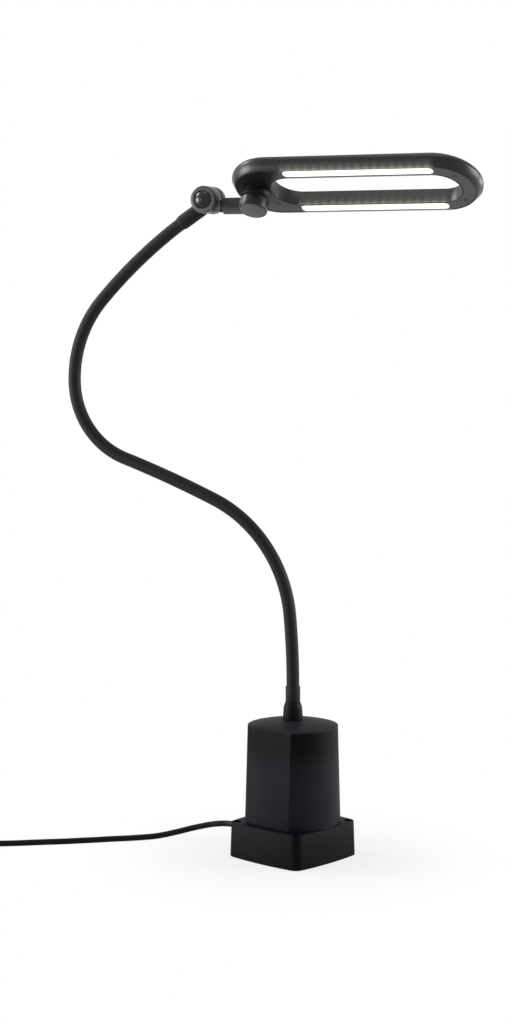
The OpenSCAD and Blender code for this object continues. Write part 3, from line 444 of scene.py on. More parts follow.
def ribbed(first, last, length, count, steps):
    """The side of a tapered sleeve with cuts round it, as (radius, height) corners."""
    shares = [((rib + step) / count, cut) for rib in range(count) for step, cut in steps]
    return [(first + (last - first) * share - cut, length * share) for share, cut in shares]


bm = bmesh.new()
boot = ribbed(BOOT_START, BOOT_END, PLUG_BOOT, BOOT_RIBS, RIB_STEPS)
stations = [(station, radius, radius) for radius, station in boot]
shoulder = PLUG_BOOT + SHOULDER_SHARE * PLUG_LENGTH
plug_end = PLUG_BOOT + PLUG_LENGTH
stations += [
    (PLUG_BOOT, BOOT_END, BOOT_END),
    (shoulder, PLUG_WIDTH / 2 - SHOULDER_WIDE, PLUG_HALF - SHOULDER_HIGH),
    (plug_end - PLUG_EDGE, PLUG_WIDTH / 2, PLUG_HALF),
    (plug_end, PLUG_WIDTH / 2 - PLUG_EDGE, PLUG_HALF - PLUG_EDGE),
]
joined(bm, [flat_round(bm, *station) for station in stations], capped=True)
moved(bm, plug_frame)
plug = settle("plug_moulding", bm, plug_black, "base", "plug_body")

# %% Plug pins
PIN_R = 2.4 * MM
PIN_BLUNT_R = 0.55 * PIN_R
PIN_LENGTH = 19 * MM
PIN_ROOT = 1 * MM
PIN_POINT = 1.2 * MM
PIN_APART = 9.5 * MM
PIN_SIDES = 32
SCRATCH = 1.5 * MM
SCRATCH_SPREAD = 0.18


def brushed(name, colour, bright, rough, stretch=(1, 1, 12)):
    """Bare metal: long fine scratches across a clean colour."""

    def build(place):
        lengthened = place.node("ShaderNodeMapping", {}, {"Vector": place, "Scale": stretch})
        scratches = specks(lengthened, SCRATCH, 3.0)
        return {
            "Base Color": blended(scratches, paint(colour), paint(bright)),
            "Metallic": 1.0,
            "Roughness": scratches * SCRATCH_SPREAD + (rough - SCRATCH_SPREAD / 2),
            "Normal": dented(scratches, 0.01 * MM),
        }

    return finish(name, build)


pin_brass = brushed("pin_brass", "#b9a66a", "#d6c58c", 0.3)
outline = [
    (0, -PIN_ROOT), (PIN_R, -PIN_ROOT), (PIN_R, PIN_LENGTH - PIN_POINT),
    (PIN_BLUNT_R, PIN_LENGTH), (0, PIN_LENGTH),
]
bm = bmesh.new()
for side in (-1, 1):
    turned(bm, outline, ACROSS, Vector((plug_end, side * PIN_APART, 0)), PIN_SIDES)
moved(bm, plug_frame)
pins = settle("plug_contact_pins", bm, pin_brass, "base", "plug_pins")

# %% Tie round the coil
TIE_ANGLE = math.radians(120)
TIE_WIDTH = 8 * MM
TIE_WALL = 0.8 * MM
TIE_EASE = 0.3 * MM
TIE_CORNER = 3 * MM
WEAVE_SCALE = 180


def strap_weave(place):
    """Woven strap: two crossed rows of ribs in black thread."""
    ribs = {"Vector": place, "Scale": WEAVE_SCALE, "Distortion": 1}
    ways = [place.node("ShaderNodeTexWave", {"bands_direction": way}, ribs) for way in ("X", "Z")]
    weave = ways[0].most(ways[1])
    return {
        "Base Color": blended(weave, paint("#101012"), paint("#232326")),
        "Roughness": weave * 0.2 + 0.6,
        "Normal": dented(weave, 0.1 * MM),
        "Specular IOR Level": 0.15,
    }


tie_strap = finish("tie_strap", strap_weave)
inner_turn = COIL_R - COIL_PITCH * COIL_TURNS / 2 - LEAD_D / 2 - TIE_EASE
outer_turn = COIL_R + LEAD_D / 2 + TIE_EASE
tie_top = COIL_LOW + COIL_RISE + LEAD_D / 2 + TIE_EASE + TIE_WALL
bm = bmesh.new()
bmesh.ops.create_grid(bm, x_segments=1, y_segments=1, size=0.5)
bmesh.ops.scale(bm, vec=(outer_turn - inner_turn + 2 * TIE_WALL, tie_top, 1), verts=bm.verts)
eased(bm, TIE_CORNER, bm.verts[:], segments=6, affect="VERTICES")
bmesh.ops.delete(bm, geom=bm.faces[:], context="FACES_ONLY")
lifted_rim(bm, bm.edges[:], (0, 0, TIE_WIDTH))
bmesh.ops.recalc_face_normals(bm, faces=bm.faces)
bmesh.ops.solidify(bm, geom=bm.faces[:], thickness=TIE_WALL)
stand_up = Matrix.Rotation(math.pi / 2, 4, "X")
to_coil = Matrix.Translation(COIL_CENTRE) @ Matrix.Rotation(TIE_ANGLE, 4, "Z")
to_middle = Matrix.Translation(((inner_turn + outer_turn) / 2, TIE_WIDTH / 2, tie_top / 2))
moved(bm, to_coil @ to_middle @ stand_up)
tie = settle("coil_tie_strap", bm, tie_strap, "base", "coil_tie")

# %% [markdown]
# ## The gooseneck
# On the real lamp a wound steel tube bends under a smooth rubber skin. The CAD bends it at five
# points, so five lengths of skin cross them.

# %% Rubber, and the way along the neck
NECK_LENGTHS = (72, 147, 107, 101, 92, 129)
NECK_TURNS = (5.5, 60.5, 5, -69.5, -44, -14.5)
RING_STEP = 3 * MM
LEAST_STEPS = 4
neck_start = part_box("lower_sleeve")[1].z
neck_root = Vector((0, 0, neck_start))


def rubber(place):
    """Matt rubber skin: slow clouds and dust-fine grain."""
    grains = specks(place, 0.5 * MM, 1.0)
    cloud = specks(place, 30 * MM)
    return {
        "Base Color": blended(cloud * 0.6 + grains * 0.4, paint("#1c1c1f"), paint("#28282b")),
        "Roughness": cloud * 0.12 + 0.5,
        "Normal": dented(grains, 0.03 * MM),
        "Specular IOR Level": 0.08,
    }


def swept(bm, ring, place, aim, link, share):
    """Spins a ring along a share of a stretch, and gives the last ring, place and direction."""
    length = NECK_LENGTHS[link] * MM * share
    turn = math.radians(NECK_TURNS[link]) * share
    steps = max(LEAST_STEPS, round(length / RING_STEP))
    left = Vector((-math.sin(aim), 0, math.cos(aim)))
    centre = place + left * (length / turn)
    spun = bmesh.ops.spin(bm, geom=ring, cent=centre, axis=-DEEP, angle=turn, steps=steps)
    spoke = Matrix.Rotation(turn, 3, -DEEP) @ (place - centre)
    return spun["geom_last"], centre + spoke, aim + turn


def mid_link(link):
    """The place and direction half way along a stretch of the neck."""
    bm = bmesh.new()
    place, aim = neck_root, math.pi / 2
    for i in range(link + 1):
        share = 0.5 if i == link else 1.0
        _, place, aim = swept(bm, [bm.verts.new(place)], place, aim, i, share)
    bm.free()
    return place, aim


neck_rubber = finish("neck_rubber", rubber)
print("neck length in mm:", sum(NECK_LENGTHS))

# %% Five lengths of skin
SKIN_R = 6.45 * MM
NECK_JOINTS = ("neck_bend_1", "neck_sway_1", "neck_bend_2", "neck_sway_2", "neck_bend_3")
NECK_BODIES = ("base", "neck_2", "neck_3", "neck_4", "neck_5", "neck_6")
neck_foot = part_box("neck_sleeve_1")[0].z
for k, joint_name in enumerate(NECK_JOINTS):
    bm = bmesh.new()
    first, last = k == 0, k == len(NECK_JOINTS) - 1
    place, aim = (neck_root, math.pi / 2) if first else mid_link(k)
    start = Vector((0, 0, neck_foot)) if first else place
    stand = Matrix.Translation(start) @ Matrix.Rotation(math.pi / 2 - aim, 4, "Y")
    verts = circle(bm, SKIN_R, SLIM_SIDES, stand)
    edges = rim_of(verts)
    if first:
        verts, edges = lifted_rim(bm, edges, (0, 0, neck_start - neck_foot))
    ring = verts + edges
    for link in (k, k + 1):
        whole = (first and link == k) or (last and link == k + 1)
        ring, place, aim = swept(bm, ring, place, aim, link, 1.0 if whole else 0.5)
    bmesh.ops.holes_fill(bm, edges=bm.edges, sides=0)
    skin = made_object(f"neck_skin_{k + 1}", bm, neck_rubber)
    NECK_BODIES[k + 1]
    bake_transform(skin)
    covered = [k + 1, k + 2] if last else [k + 1]
    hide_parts(*[f"{kind}_{n}" for n in covered for kind in ("neck_sleeve", "neck_core")])
neck_end = place
print("neck ends at", [round(x / MM, 1) for x in neck_end])

# %% [markdown]
# ## The foot
# The foot is a square block with gently bowed sides and rounded corners. The tower stands on its
# deck, and a deep well in each corner takes a screw, so that the lamp can be fixed to a bench. The
# outline is traced by spinning one point round side arcs and corner arcs in turn, and the decks are
# filled round the rims of the wells.

# %% Outline of the foot
FOOT_HALF = 49.5 * MM
FOOT_BULGE = 3.2 * MM
FOOT_CORNER = 9 * MM
SIDE_STEPS = 20
CORNER_STEPS = 10


def bowed_square(bm, half, height, scale):
    """Traces the foot's outline: each side is a wide arc and each corner a small one."""
    bow = ((half - FOOT_BULGE) ** 2 + FOOT_BULGE**2) / (2 * FOOT_BULGE)
    off = half - bow
    hub = (off + math.sqrt(2 * (bow - FOOT_CORNER) ** 2 - off**2)) / 2
    lean = math.atan2(hub, hub - off)
    side_arc = (Vector((off, 0, 0)), 2 * lean, SIDE_STEPS)
    corner_arc = (Vector((hub, hub, 0)), math.pi / 2 - 2 * lean, CORNER_STEPS)
    point = bm.verts.new((off + bow * math.cos(lean), -bow * math.sin(lean), 0))
    traced = [point]
    for quarter in range(4):
        turn = Matrix.Rotation(quarter * math.pi / 2, 3, "Z")
        for centre, angle, steps in (side_arc, corner_arc):
            before = set(bm.verts)
            spun = bmesh.ops.spin(
                bm, geom=[point], cent=turn @ centre, axis=UPRIGHT, angle=angle, steps=steps,
            )
            point = verts_of(spun["geom_last"])[0]
            traced += [v for v in bm.verts if v not in before]
    bmesh.ops.weld_verts(bm, targetmap={point: traced[0]})
    traced = [v for v in traced if v.is_valid]
    for vert in traced:
        vert.co = Vector((vert.co.x * scale, vert.co.y * scale, height))
    return rim_of(traced)


# %% Foot tray
FOOT_TAPER = 0.98
EDGE = 0.7 * MM
EDGE_BEND = 0.3 * EDGE
HOLE_RING = 56 * MM
HOLE_R = 2.25 * MM
WELL_R = 4.3 * MM
WELL_SEAT = 12 * MM
WELL_EDGE = 0.3 * MM
foot_low, foot_top = (corner.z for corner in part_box("foot_tray"))
foot_plastic = moulded("foot_plastic", "#07070a", "#0d0d12", 0.5, gloss=0.035)
bm = bmesh.new()
levels = [
    (FOOT_HALF - EDGE, foot_low, 1.0),
    (FOOT_HALF, foot_low + EDGE, 1.0),
    (FOOT_HALF, foot_top - EDGE, FOOT_TAPER),
    (FOOT_HALF - EDGE_BEND, foot_top - EDGE_BEND, FOOT_TAPER),
    (FOOT_HALF - EDGE, foot_top, FOOT_TAPER),
]
walls = [bowed_square(bm, *level) for level in levels]
joined(bm, walls)
well = [
    (foot_low, HOLE_R), (WELL_SEAT, HOLE_R), (WELL_SEAT, WELL_R),
    (foot_top - WELL_EDGE, WELL_R), (foot_top, WELL_R + WELL_EDGE),
]
lower_rims, upper_rims = list(walls[0]), list(walls[-1])
for corner in range(4):
    spot = Matrix.Rotation(math.radians(45 + 90 * corner), 3, "Z") @ Vector((HOLE_RING, 0, 0))
    rings = [hole_ring(bm, spot + UPRIGHT * height, radius) for height, radius in well]
    joined(bm, rings)
    lower_rims += rings[0]
    upper_rims += rings[-1]
filled(bm, lower_rims)
filled(bm, upper_rims)
moved(bm, BASE_TURN)
settle("foot_moulding", bm, foot_plastic, "base", "foot_tray")

# %% [markdown]
# ## The strain relief
# A tapered rubber sleeve keeps the lead from being bent sharply where it leaves the foot. Rings are
# cut round it so that it flexes evenly. It is turned from one outline about the lead's own line.

# %% Strain relief
RELIEF_SEAT = 49.265 * MM
RELIEF_ROOT = 6 * MM
RELIEF_ROOT_R = 5 * MM
RELIEF_FLANGE_R = 6 * MM
RELIEF_TIP_R = LEAD_D / 2 + 1 * MM
RELIEF_RINGS = 5
RING_CUT = 0.9 * MM
RING_STEPS = ((0.35, 0), (0.5, RING_CUT), (0.85, RING_CUT), (1.0, 0))
relief_rubber = moulded("relief_rubber", "#151517", "#1d1d20", 0.55, gloss=0.2)
relief_length = RELIEF_TIP - RELIEF_SEAT
outline = [(0, -RELIEF_ROOT), (RELIEF_ROOT_R, -RELIEF_ROOT), (RELIEF_ROOT_R, 0), (RELIEF_FLANGE_R, 0)]
outline += ribbed(RELIEF_FLANGE_R, RELIEF_TIP_R, relief_length, RELIEF_RINGS, RING_STEPS)
outline.append((0, relief_length))
bm = bmesh.new()
turned(bm, outline, -ACROSS, Vector((-RELIEF_SEAT, 0, LEAD_HEIGHT)), SLIM_SIDES)
moved(bm, BASE_TURN)
settle("strain_relief_sleeve", bm, relief_rubber, "base", "strain_relief")

# %% [markdown]
# ## The tower
# The tower is a round, slightly tapered housing with a low domed top and one flat side. It is
# turned as a whole, then a leaning plane cuts the flat and the cut is closed. The rim gets a wide
# round and the flat's edges a narrow one. Its colour is darkened towards the rim by painted shade,
# so it is paler low down than at the rim.

# %% Plastic of the tower
TOWER_RIM_Z = 134.5 * MM
RIM_EASE = 2.2 * MM
SHADE_LOW = 84 * MM
SHADE_HIGH = 124 * MM
DOME_SHADE_SHARE = 0.4


def shaded_tower_skin(place):
    """Matt plastic, paler low down and darkened towards the rim by painted shade. The domed top takes part
    of that shade.
    """
    cloud, grains, tone = grained(place)
    height = place.node("ShaderNodeSeparateXYZ", {}, {"Vector": place}, "Z")
    # Painted shade: the colour darkens from SHADE_LOW up to SHADE_HIGH on the wall, and by a smaller share
    # on the domed top.
    rise = height.ramp(SHADE_LOW, SHADE_HIGH)
    wall = height.maths("LESS_THAN", height, TOWER_RIM_Z - RIM_EASE / 2)
    paler_low = blended(tone, paint("#191a1d"), paint("#242529"))
    painted_shade_dark = blended(tone, paint("#070709"), paint("#0c0c10"))
    return {
        "Base Color": blended(rise * (wall * (1 - DOME_SHADE_SHARE) + DOME_SHADE_SHARE), paler_low, painted_shade_dark),
        "Roughness": cloud * 0.12 + 0.46,
        "Normal": dented(grains, 0.03 * MM),
        "Specular IOR Level": 0.04,
    }


tower_plastic = finish("tower_plastic", shaded_tower_skin)

# %% Tower shell
TOWER_FLAT = 38.9 * MM
TOWER_FLAT_TOP = 35.5 * MM
TOWER_TOP_R = 45.5 * MM
TOWER_FOOT_R = 48.31 * MM
TOWER_GAP = 0.02 * MM
TOWER_SIDES = 128
DOME_RISE = 6 * MM
DOME_STEPS = 10
FLAT_EASE = 0.7 * MM


def sliced(bm, point, normal):
    """Cuts away what lies beyond a plane, and closes the cut with one face."""
    everything = bm.verts[:] + bm.edges[:] + bm.faces[:]
    cut = bmesh.ops.bisect_plane(
        bm, geom=everything, dist=CLOSE, plane_co=point, plane_no=normal, clear_outer=True,
    )["geom_cut"]
    rim = [g for g in cut if isinstance(g, bmesh.types.BMEdge)]
    bmesh.ops.contextual_create(bm, geom=rim)


dome_ball = (TOWER_TOP_R**2 + DOME_RISE**2) / (2 * DOME_RISE)
dome_centre = TOWER_RIM_Z + DOME_RISE - dome_ball
outline = [(0, foot_top + TOWER_GAP), (TOWER_FOOT_R, foot_top + TOWER_GAP), (TOWER_TOP_R, TOWER_RIM_Z)]
for step in range(DOME_STEPS - 1, -1, -1):
    radius = TOWER_TOP_R * step / DOME_STEPS
    outline.append((radius, dome_centre + math.sqrt(dome_ball**2 - radius**2)))
bm = bmesh.new()
turned(bm, outline, sides=TOWER_SIDES)
lean = Vector((0, foot_top - TOWER_RIM_Z, TOWER_FLAT - TOWER_FLAT_TOP)).normalized()
sliced(bm, (0, -TOWER_FLAT, foot_top), lean)
rim = [e for e in bm.edges if min(v.co.z for v in e.verts) > TOWER_RIM_Z - EDGE]
eased(bm, RIM_EASE, folded(rim, least=30), segments=6)
eased(bm, FLAT_EASE, least=40)
moved(bm, BASE_TURN)
settle("tower_moulding", bm, tower_plastic, "base", "tower_shell")

# %% [markdown]
# ## Collar and cuffs
# A turned collar grips the neck on top of the tower. A short cuff follows it, and another closes
# the skin at the upper end, in line with the last stretch of the neck.

# %% Collar and lower cuff
NECK_R = 6 * MM
COLLAR_R = 10.2 * MM
COLLAR_TOP_R = 9.35 * MM
COLLAR_H = 12.6 * MM
COLLAR_EASE = 0.9 * MM
CUFF_R = 7.4 * MM
CUFF_EASE = 0.45 * MM
collar_low, collar_high = (corner.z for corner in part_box("neck_collar"))
cuff_low, cuff_high = (corner.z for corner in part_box("lower_sleeve"))
collar_black = moulded("collar_black", "#0c0c0e", "#131316", 0.5, gloss=0.06)
bm = bmesh.new()
turned(bm, [
    (0, collar_low), (COLLAR_R, collar_low), (COLLAR_TOP_R, collar_low + COLLAR_H),
    (CUFF_R, collar_high), (0, collar_high),
])
eased(bm, COLLAR_EASE, least=12)
settle("neck_collar_turned", bm, collar_black, "base", "neck_collar")
bm = bmesh.new()
turned(bm, [
    (NECK_R, cuff_low), (CUFF_R, cuff_low), (CUFF_R, cuff_high), (NECK_R, cuff_high), (NECK_R, cuff_low),
])
eased(bm, CUFF_EASE)
settle("lower_cuff", bm, neck_rubber, "base", "lower_sleeve")

# %% Upper cuff and ferrule
HUB_R = 13.5 * MM
UPPER_CUFF_R = 7.6 * MM
CUFF_BACK = 12 * MM
CUFF_LIP = 0.8 * MM
CUFF_TAPER = 4 * MM
UPPER_CUFF_SIDES = 64
FERRULE_IN = 4 * MM
hub_place = Vector(joints["tilt"]["pos_m"])
end_aim = math.pi / 2 + math.radians(sum(NECK_TURNS))
end_line = Vector((math.cos(end_aim), 0, math.sin(end_aim)))
cuff_reach = (hub_place - neck_end).dot(end_line) - HUB_R
ferrule_reach = cuff_reach + FERRULE_IN
bm = bmesh.new()
turned(bm, [
    (NECK_R, -CUFF_BACK), (NECK_R + CUFF_LIP, -CUFF_BACK), (UPPER_CUFF_R, CUFF_TAPER - CUFF_BACK),
    (UPPER_CUFF_R, cuff_reach), (NECK_R, cuff_reach), (NECK_R, -CUFF_BACK),
], end_line, neck_end, UPPER_CUFF_SIDES)
eased(bm, CUFF_EASE, least=8)
settle("upper_cuff", bm, neck_rubber, "neck_6", "upper_sleeve")
bm = bmesh.new()
ferrule = [(0, 0), (NECK_R, 0), (NECK_R, ferrule_reach), (0, ferrule_reach)]
turned(bm, ferrule, end_line, neck_end, SLIM_SIDES)
settle("neck_end_ferrule", bm, neck_rubber, "neck_6", "neck_ferrule")

# %% [markdown]
# ## The tilt hub
# Two discs clamp together on a bolt along the hub's axis. The rear disc belongs to the neck. The
# front one carries a lug for the arm, and a glossy domed cap hides the bolt. Both discs are turned,
# and the lug is a block with rounded edges that runs into the front one.

# %% Rear disc and its cap
CAP_R = 8.5 * MM
CAP_RING_R = CAP_R + 0.9 * MM
SEAT = 1.5 * MM
TAPER = 3 * MM
TAPER_T = 7 * MM
DISC_EASE = 0.9 * MM
REAR_RISE = 2.5 * MM
rear_from, rear_to = (corner.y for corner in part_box("tilt_disc_rear"))
hub_axis_at = Vector((hub_place.x, 0, hub_place.z))
disc_grey = moulded("disc_grey", "#2c2c30", "#3c3c41", 0.42, gloss=0.4, depth=0.04 * MM)
cap_black = moulded("cap_black", "#1f1f22", "#2b2b2e", 0.4, gloss=0.4)
bm = bmesh.new()
turned(bm, [
    (0, rear_from), (HUB_R, rear_from), (HUB_R, rear_to - TAPER_T), (HUB_R - TAPER, rear_to),
    (CAP_RING_R, rear_to), (CAP_RING_R, rear_to - SEAT), (0, rear_to - SEAT),
], DEEP, hub_axis_at)
eased(bm, DISC_EASE)
settle("rear_disc", bm, disc_grey, "neck_6", "tilt_disc_rear")


def domed(radius, base, rise, steps=10):
    """The outline of a cap: a short straight base under a shallow dome."""
    ball = (radius**2 + rise**2) / (2 * rise)
    reach = math.asin(radius / ball)
    arc = [reach * (1 - i / steps) for i in range(steps + 1)]
    dome = [(ball * math.sin(a), base + rise - ball + ball * math.cos(a)) for a in arc]
    return [(0, 0), (radius, 0)] + dome


bm = bmesh.new()
turned(bm, domed(CAP_R, SEAT, REAR_RISE), DEEP, hub_axis_at + DEEP * (rear_to - SEAT))
settle("rear_cap_domed", bm, cap_black, "neck_6", "rear_cap")

# %% Front barrel with its lug
LUG_H = 12 * MM
LUG_W = 13 * MM
LUG_EASE = 1.5 * MM
BARREL_EASE = 2 * MM
CAP_SEAT = 2 * MM
front_from, front_to = (corner.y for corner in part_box("tilt_barrel"))
lug_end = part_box("tilt_barrel")[1].x
roll_place = Vector(joints["roll"]["pos_m"])
barrel_t = front_to - front_from
barrel_grey = moulded("barrel_grey", "#434347", "#545458", 0.38, gloss=0.35, depth=0.02 * MM)
bm = bmesh.new()
lug_size = Vector((lug_end - hub_place.x, LUG_W, LUG_H))
lug_middle = Vector(((lug_end + hub_place.x) / 2, roll_place.y, roll_place.z))
lug_frame = Matrix.Translation(lug_middle) @ Matrix.Diagonal((*lug_size, 1))
bmesh.ops.create_cube(bm, size=1, matrix=lug_frame)
lengthwise = [e for e in bm.edges if abs((e.verts[0].co - e.verts[1].co).x) > lug_size.x / 2]
eased(bm, LUG_EASE, lengthwise)
barrel = bmesh.new()
turned(barrel, [
    (0, CAP_SEAT), (CAP_RING_R, CAP_SEAT), (CAP_RING_R, 0), (HUB_R, 0), (HUB_R, barrel_t), (0, barrel_t),
], DEEP, Vector((hub_place.x, front_from, hub_place.z)))
outer = HUB_R - EDGE
rounds = [e for e in barrel.edges if min((v.co - hub_place).xz.length for v in e.verts) > outer]
eased(barrel, BARREL_EASE, folded(rounds, least=60), segments=5)
disc = bpy.data.meshes.new("barrel_disc")
barrel.to_mesh(disc)
barrel.free()
bm.from_mesh(disc)
bpy.data.meshes.remove(disc)
settle("front_barrel", bm, barrel_grey, "hub", "tilt_barrel")

# %% Glossy domed cap
DOME_BASE = 1.7 * MM
FRONT_RISE = 4 * MM
FRONT_STEPS = 14
dome_gloss = moulded(
    "dome_gloss", "#060608", "#0b0b0d", 0.28, gloss=0.2, depth=0.002 * MM,
    **{"Coat Weight": 0.3, "Coat Roughness": 0.22},
)
cap_place = Vector((hub_place.x, front_from + CAP_SEAT, hub_place.z))
bm = bmesh.new()
turned(bm, domed(CAP_R, DOME_BASE, FRONT_RISE, FRONT_STEPS), -DEEP, cap_place)
settle("front_dome_cap", bm, dome_gloss, "hub", "dome_cap")

# %% [markdown]
# ## The arm and its knuckle
# A short bar leads from the lug to a round knuckle under the head. Bar and knuckle are one moulding,
# so they are cut from one outline too: a point is spun round the knuckle, and the bar closes it.
# A grey cap covers the swivel bolt from below. Both are made flat, in the frame of the head.

# %% Frame of the head
swivel_place = Vector(joints["swivel"]["pos_m"])
head_up = Vector(joints["swivel"]["axis"])
head_across = head_up.cross(ACROSS)
head_frame = Matrix.Identity(4)
for row in range(3):
    for column, direction in enumerate((ACROSS, head_across, head_up, swivel_place)):
        head_frame[row][column] = direction[row]
print("head leans by", round(math.degrees(head_up.angle(UPRIGHT)), 1), "degrees")

# %% Arm bar
KNUCKLE_R = 14 * MM
KNUCKLE_LOW = -20.8 * MM
KNUCKLE_HIGH = -8.8 * MM
KNUCKLE_STEPS = 72
BAR_HALF = 6.5 * MM
ARM_EASE = 1 * MM
bar_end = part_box("arm_bar")[0].x - swivel_place.x
knuckle_frame = head_frame @ Matrix.Translation((0, 0, KNUCKLE_LOW))
arm_black = moulded("arm_black", "#1f1f22", "#2b2b2f", 0.32, gloss=0.2, depth=0.008 * MM)
bm = bmesh.new()
neck_x = math.sqrt(KNUCKLE_R**2 - BAR_HALF**2)
point = bm.verts.new((-neck_x, -BAR_HALF, 0))
round_by = math.tau - 2 * math.asin(BAR_HALF / KNUCKLE_R)
spun = bmesh.ops.spin(
    bm, geom=[point], cent=(0, 0, 0), axis=UPRIGHT, angle=round_by, steps=KNUCKLE_STEPS,
)
corners = [bm.verts.new((bar_end, BAR_HALF, 0)), bm.verts.new((bar_end, -BAR_HALF, 0))]
path = verts_of(spun["geom_last"]) + corners + [point]
for pair in zip(path, path[1:]):
    bm.edges.new(pair)
face = bmesh.ops.contextual_create(bm, geom=bm.edges[:])["faces"][0]
thick = verts_of(bmesh.ops.extrude_face_region(bm, geom=[face])["geom"])
bmesh.ops.translate(bm, verts=thick, vec=(0, 0, KNUCKLE_HIGH - KNUCKLE_LOW))
bmesh.ops.recalc_face_normals(bm, faces=bm.faces)
eased(bm, ARM_EASE)
moved(bm, knuckle_frame)
settle("arm_moulding", bm, arm_black, "arm", "arm_bar")

# %% Knuckle cap
CAP_T = 1.4 * MM
KNUCKLE_CAP_R = 12.9 * MM
CAP_STAND = 0.25 * MM
CAP_EASE = 0.3 * MM
cap_grey = moulded("knuckle_cap_grey", "#545457", "#616164", 0.5, gloss=0.12, depth=0.05 * MM)
bm = bmesh.new()
turned(bm, [(0, CAP_T), (KNUCKLE_CAP_R, CAP_T), (KNUCKLE_CAP_R, -CAP_STAND), (0, -CAP_STAND)])
eased(bm, CAP_EASE)
moved(bm, knuckle_frame)
settle("knuckle_cover", bm, cap_grey, "arm", "knuckle_cap")

# %% [markdown]
# ## The head
# The head is a hollow ring, as long as a hand and a half, with a slot through the middle. Its walls
# are a row of stadium-shaped rings, bridged one after the other: up the outside, over the rounded
# edge, down the slot and back along the inside. A stadium is a circle pulled apart along its length.
# The strips throw scallops of light on the walls, painted here as a faint glow. Its top is matt.

# %% Rings of the head
HEAD_LEFT = 18.4 * MM
HEAD_RIGHT = 185 * MM
SLOT_LEFT = 39.7 * MM
SLOT_R = 23.7 * MM
HEAD_R = 38.8 * MM
HEAD_MAX_R = 43.5 * MM
FLARE_H = 7.2 * MM
HEAD_T = 15.5 * MM
HEAD_EDGE = 6 * MM
HEAD_WALL = 1.8 * MM
HEAD_RIM = 1.4 * MM
HEAD_SIDES = 144
EDGE_STEPS = 8
HEM_IN = 0.3 * MM
HEM_OUT = 0.2 * MM
HEM_H = 0.4 * MM
SLOT_EASE = 0.8 * MM
SLOT_BEND = 0.25 * MM
SLOT_HEM_H = 0.5 * MM
SLOT_HEM = 0.4 * MM


def stadium(bm, radius, left, right, height, mid=0.0):
    """A circle pulled apart along its length: the ring that the head is made of."""
    ring = circle(bm, radius, HEAD_SIDES, Matrix.Rotation(math.pi / HEAD_SIDES, 4, "Z"))
    for vert in ring:
        vert.co += Vector((right if vert.co.x > 0 else left, mid, height))
    return rim_of(ring)


def edge_round(radius, top, ease):
    """The quarter round between a wall and the top, as corners of an outline."""
    arc = [math.pi / 2 * i / EDGE_STEPS for i in range(EDGE_STEPS + 1)]
    return [(radius - ease + ease * math.cos(a), top - ease + ease * math.sin(a)) for a in arc]


outside = [(HEAD_R - HEAD_RIM, 0), (HEAD_R - HEM_IN, 0), (HEAD_R + HEM_OUT, HEM_H), (HEAD_MAX_R, FLARE_H)]
outside += edge_round(HEAD_MAX_R, HEAD_T, HEAD_EDGE)
slot = [
    (SLOT_R + SLOT_EASE, HEAD_T), (SLOT_R + SLOT_BEND, HEAD_T - SLOT_BEND), (SLOT_R, HEAD_T - SLOT_EASE),
    (SLOT_R, SLOT_HEM_H), (SLOT_R + SLOT_HEM, 0),
    (SLOT_R + HEAD_RIM, 0), (SLOT_R + HEAD_RIM, HEAD_T - HEAD_WALL),
]
inside = edge_round(HEAD_MAX_R - HEAD_WALL, HEAD_T - HEAD_WALL, HEAD_EDGE - HEAD_WALL)[::-1]
inside += [(HEAD_MAX_R - HEAD_WALL, FLARE_H)]
bm = bmesh.new()
rings = []
for left, steps in ((HEAD_LEFT, outside), (SLOT_LEFT, slot), (HEAD_LEFT, inside)):
    rings += [stadium(bm, radius, left, HEAD_RIGHT, height) for radius, height in steps]
joined(bm, rings + rings[:1])
moved(bm, head_frame)
print("rings in the head:", len(rings))

# %% Plastic and glow of the head
STRIP_V = 31.25 * MM
STRIP_MID = 113.35 * MM
STRIP_HALF = 75.75 * MM
STRIP_W = 9.2 * MM
CHIP_PITCH = 8.7 * MM
GLOW_RISE = 8.5 * MM
GLOW_HEM = 2.5 * MM
SOFT = 0.3 * MM
LIP_SOFT = 0.5 * MM
# Bands that catch light: where each begins and ends, and how soft its limits are.
NEAR_WALL = (-50 * MM, -36 * MM, 1 * MM)
FAR_WALL = (20 * MM, SLOT_R + SOFT, SOFT)
FAR_LIP = (STRIP_V + STRIP_W / 2, HEAD_MAX_R, LIP_SOFT)
SLOT_LIP = (-SLOT_R - HEAD_RIM - LIP_SOFT, -SLOT_R + LIP_SOFT, SOFT)
LIP_LEVEL = (-1 * MM, 0.8 * MM, 0.2 * MM)
SCALLOP = 0.2
WASH = 0.14
SLOT_LIP_GLOW = 0.5
TOP_FADE = 2 * MM
TOP_MATT = 0.55
DARK = (0, 0, 0, 1)


def along(place, direction):
    """How far a point lies from the swivel in one direction, in metres."""
    away = place.node("ShaderNodeVectorMath", {"operation": "SUBTRACT"}, {0: place, 1: swivel_place})
    return away.node("ShaderNodeVectorMath", {"operation": "DOT_PRODUCT"}, {0: away, 1: direction}, "Value")


def between(value, low, high, soft):
    """1 between two limits and 0 outside them, with soft edges."""
    return value.ramp(low - soft, low + soft) * value.ramp(high + soft, high - soft)


def beside_strips(u, soft):
    """1 along the length of the lit strips, and 0 past their ends."""
    return between(u, STRIP_MID - STRIP_HALF, STRIP_MID + STRIP_HALF, soft)


def chip_wave(u):
    return u.maths("SINE", (u - STRIP_MID) * (math.tau / CHIP_PITCH))


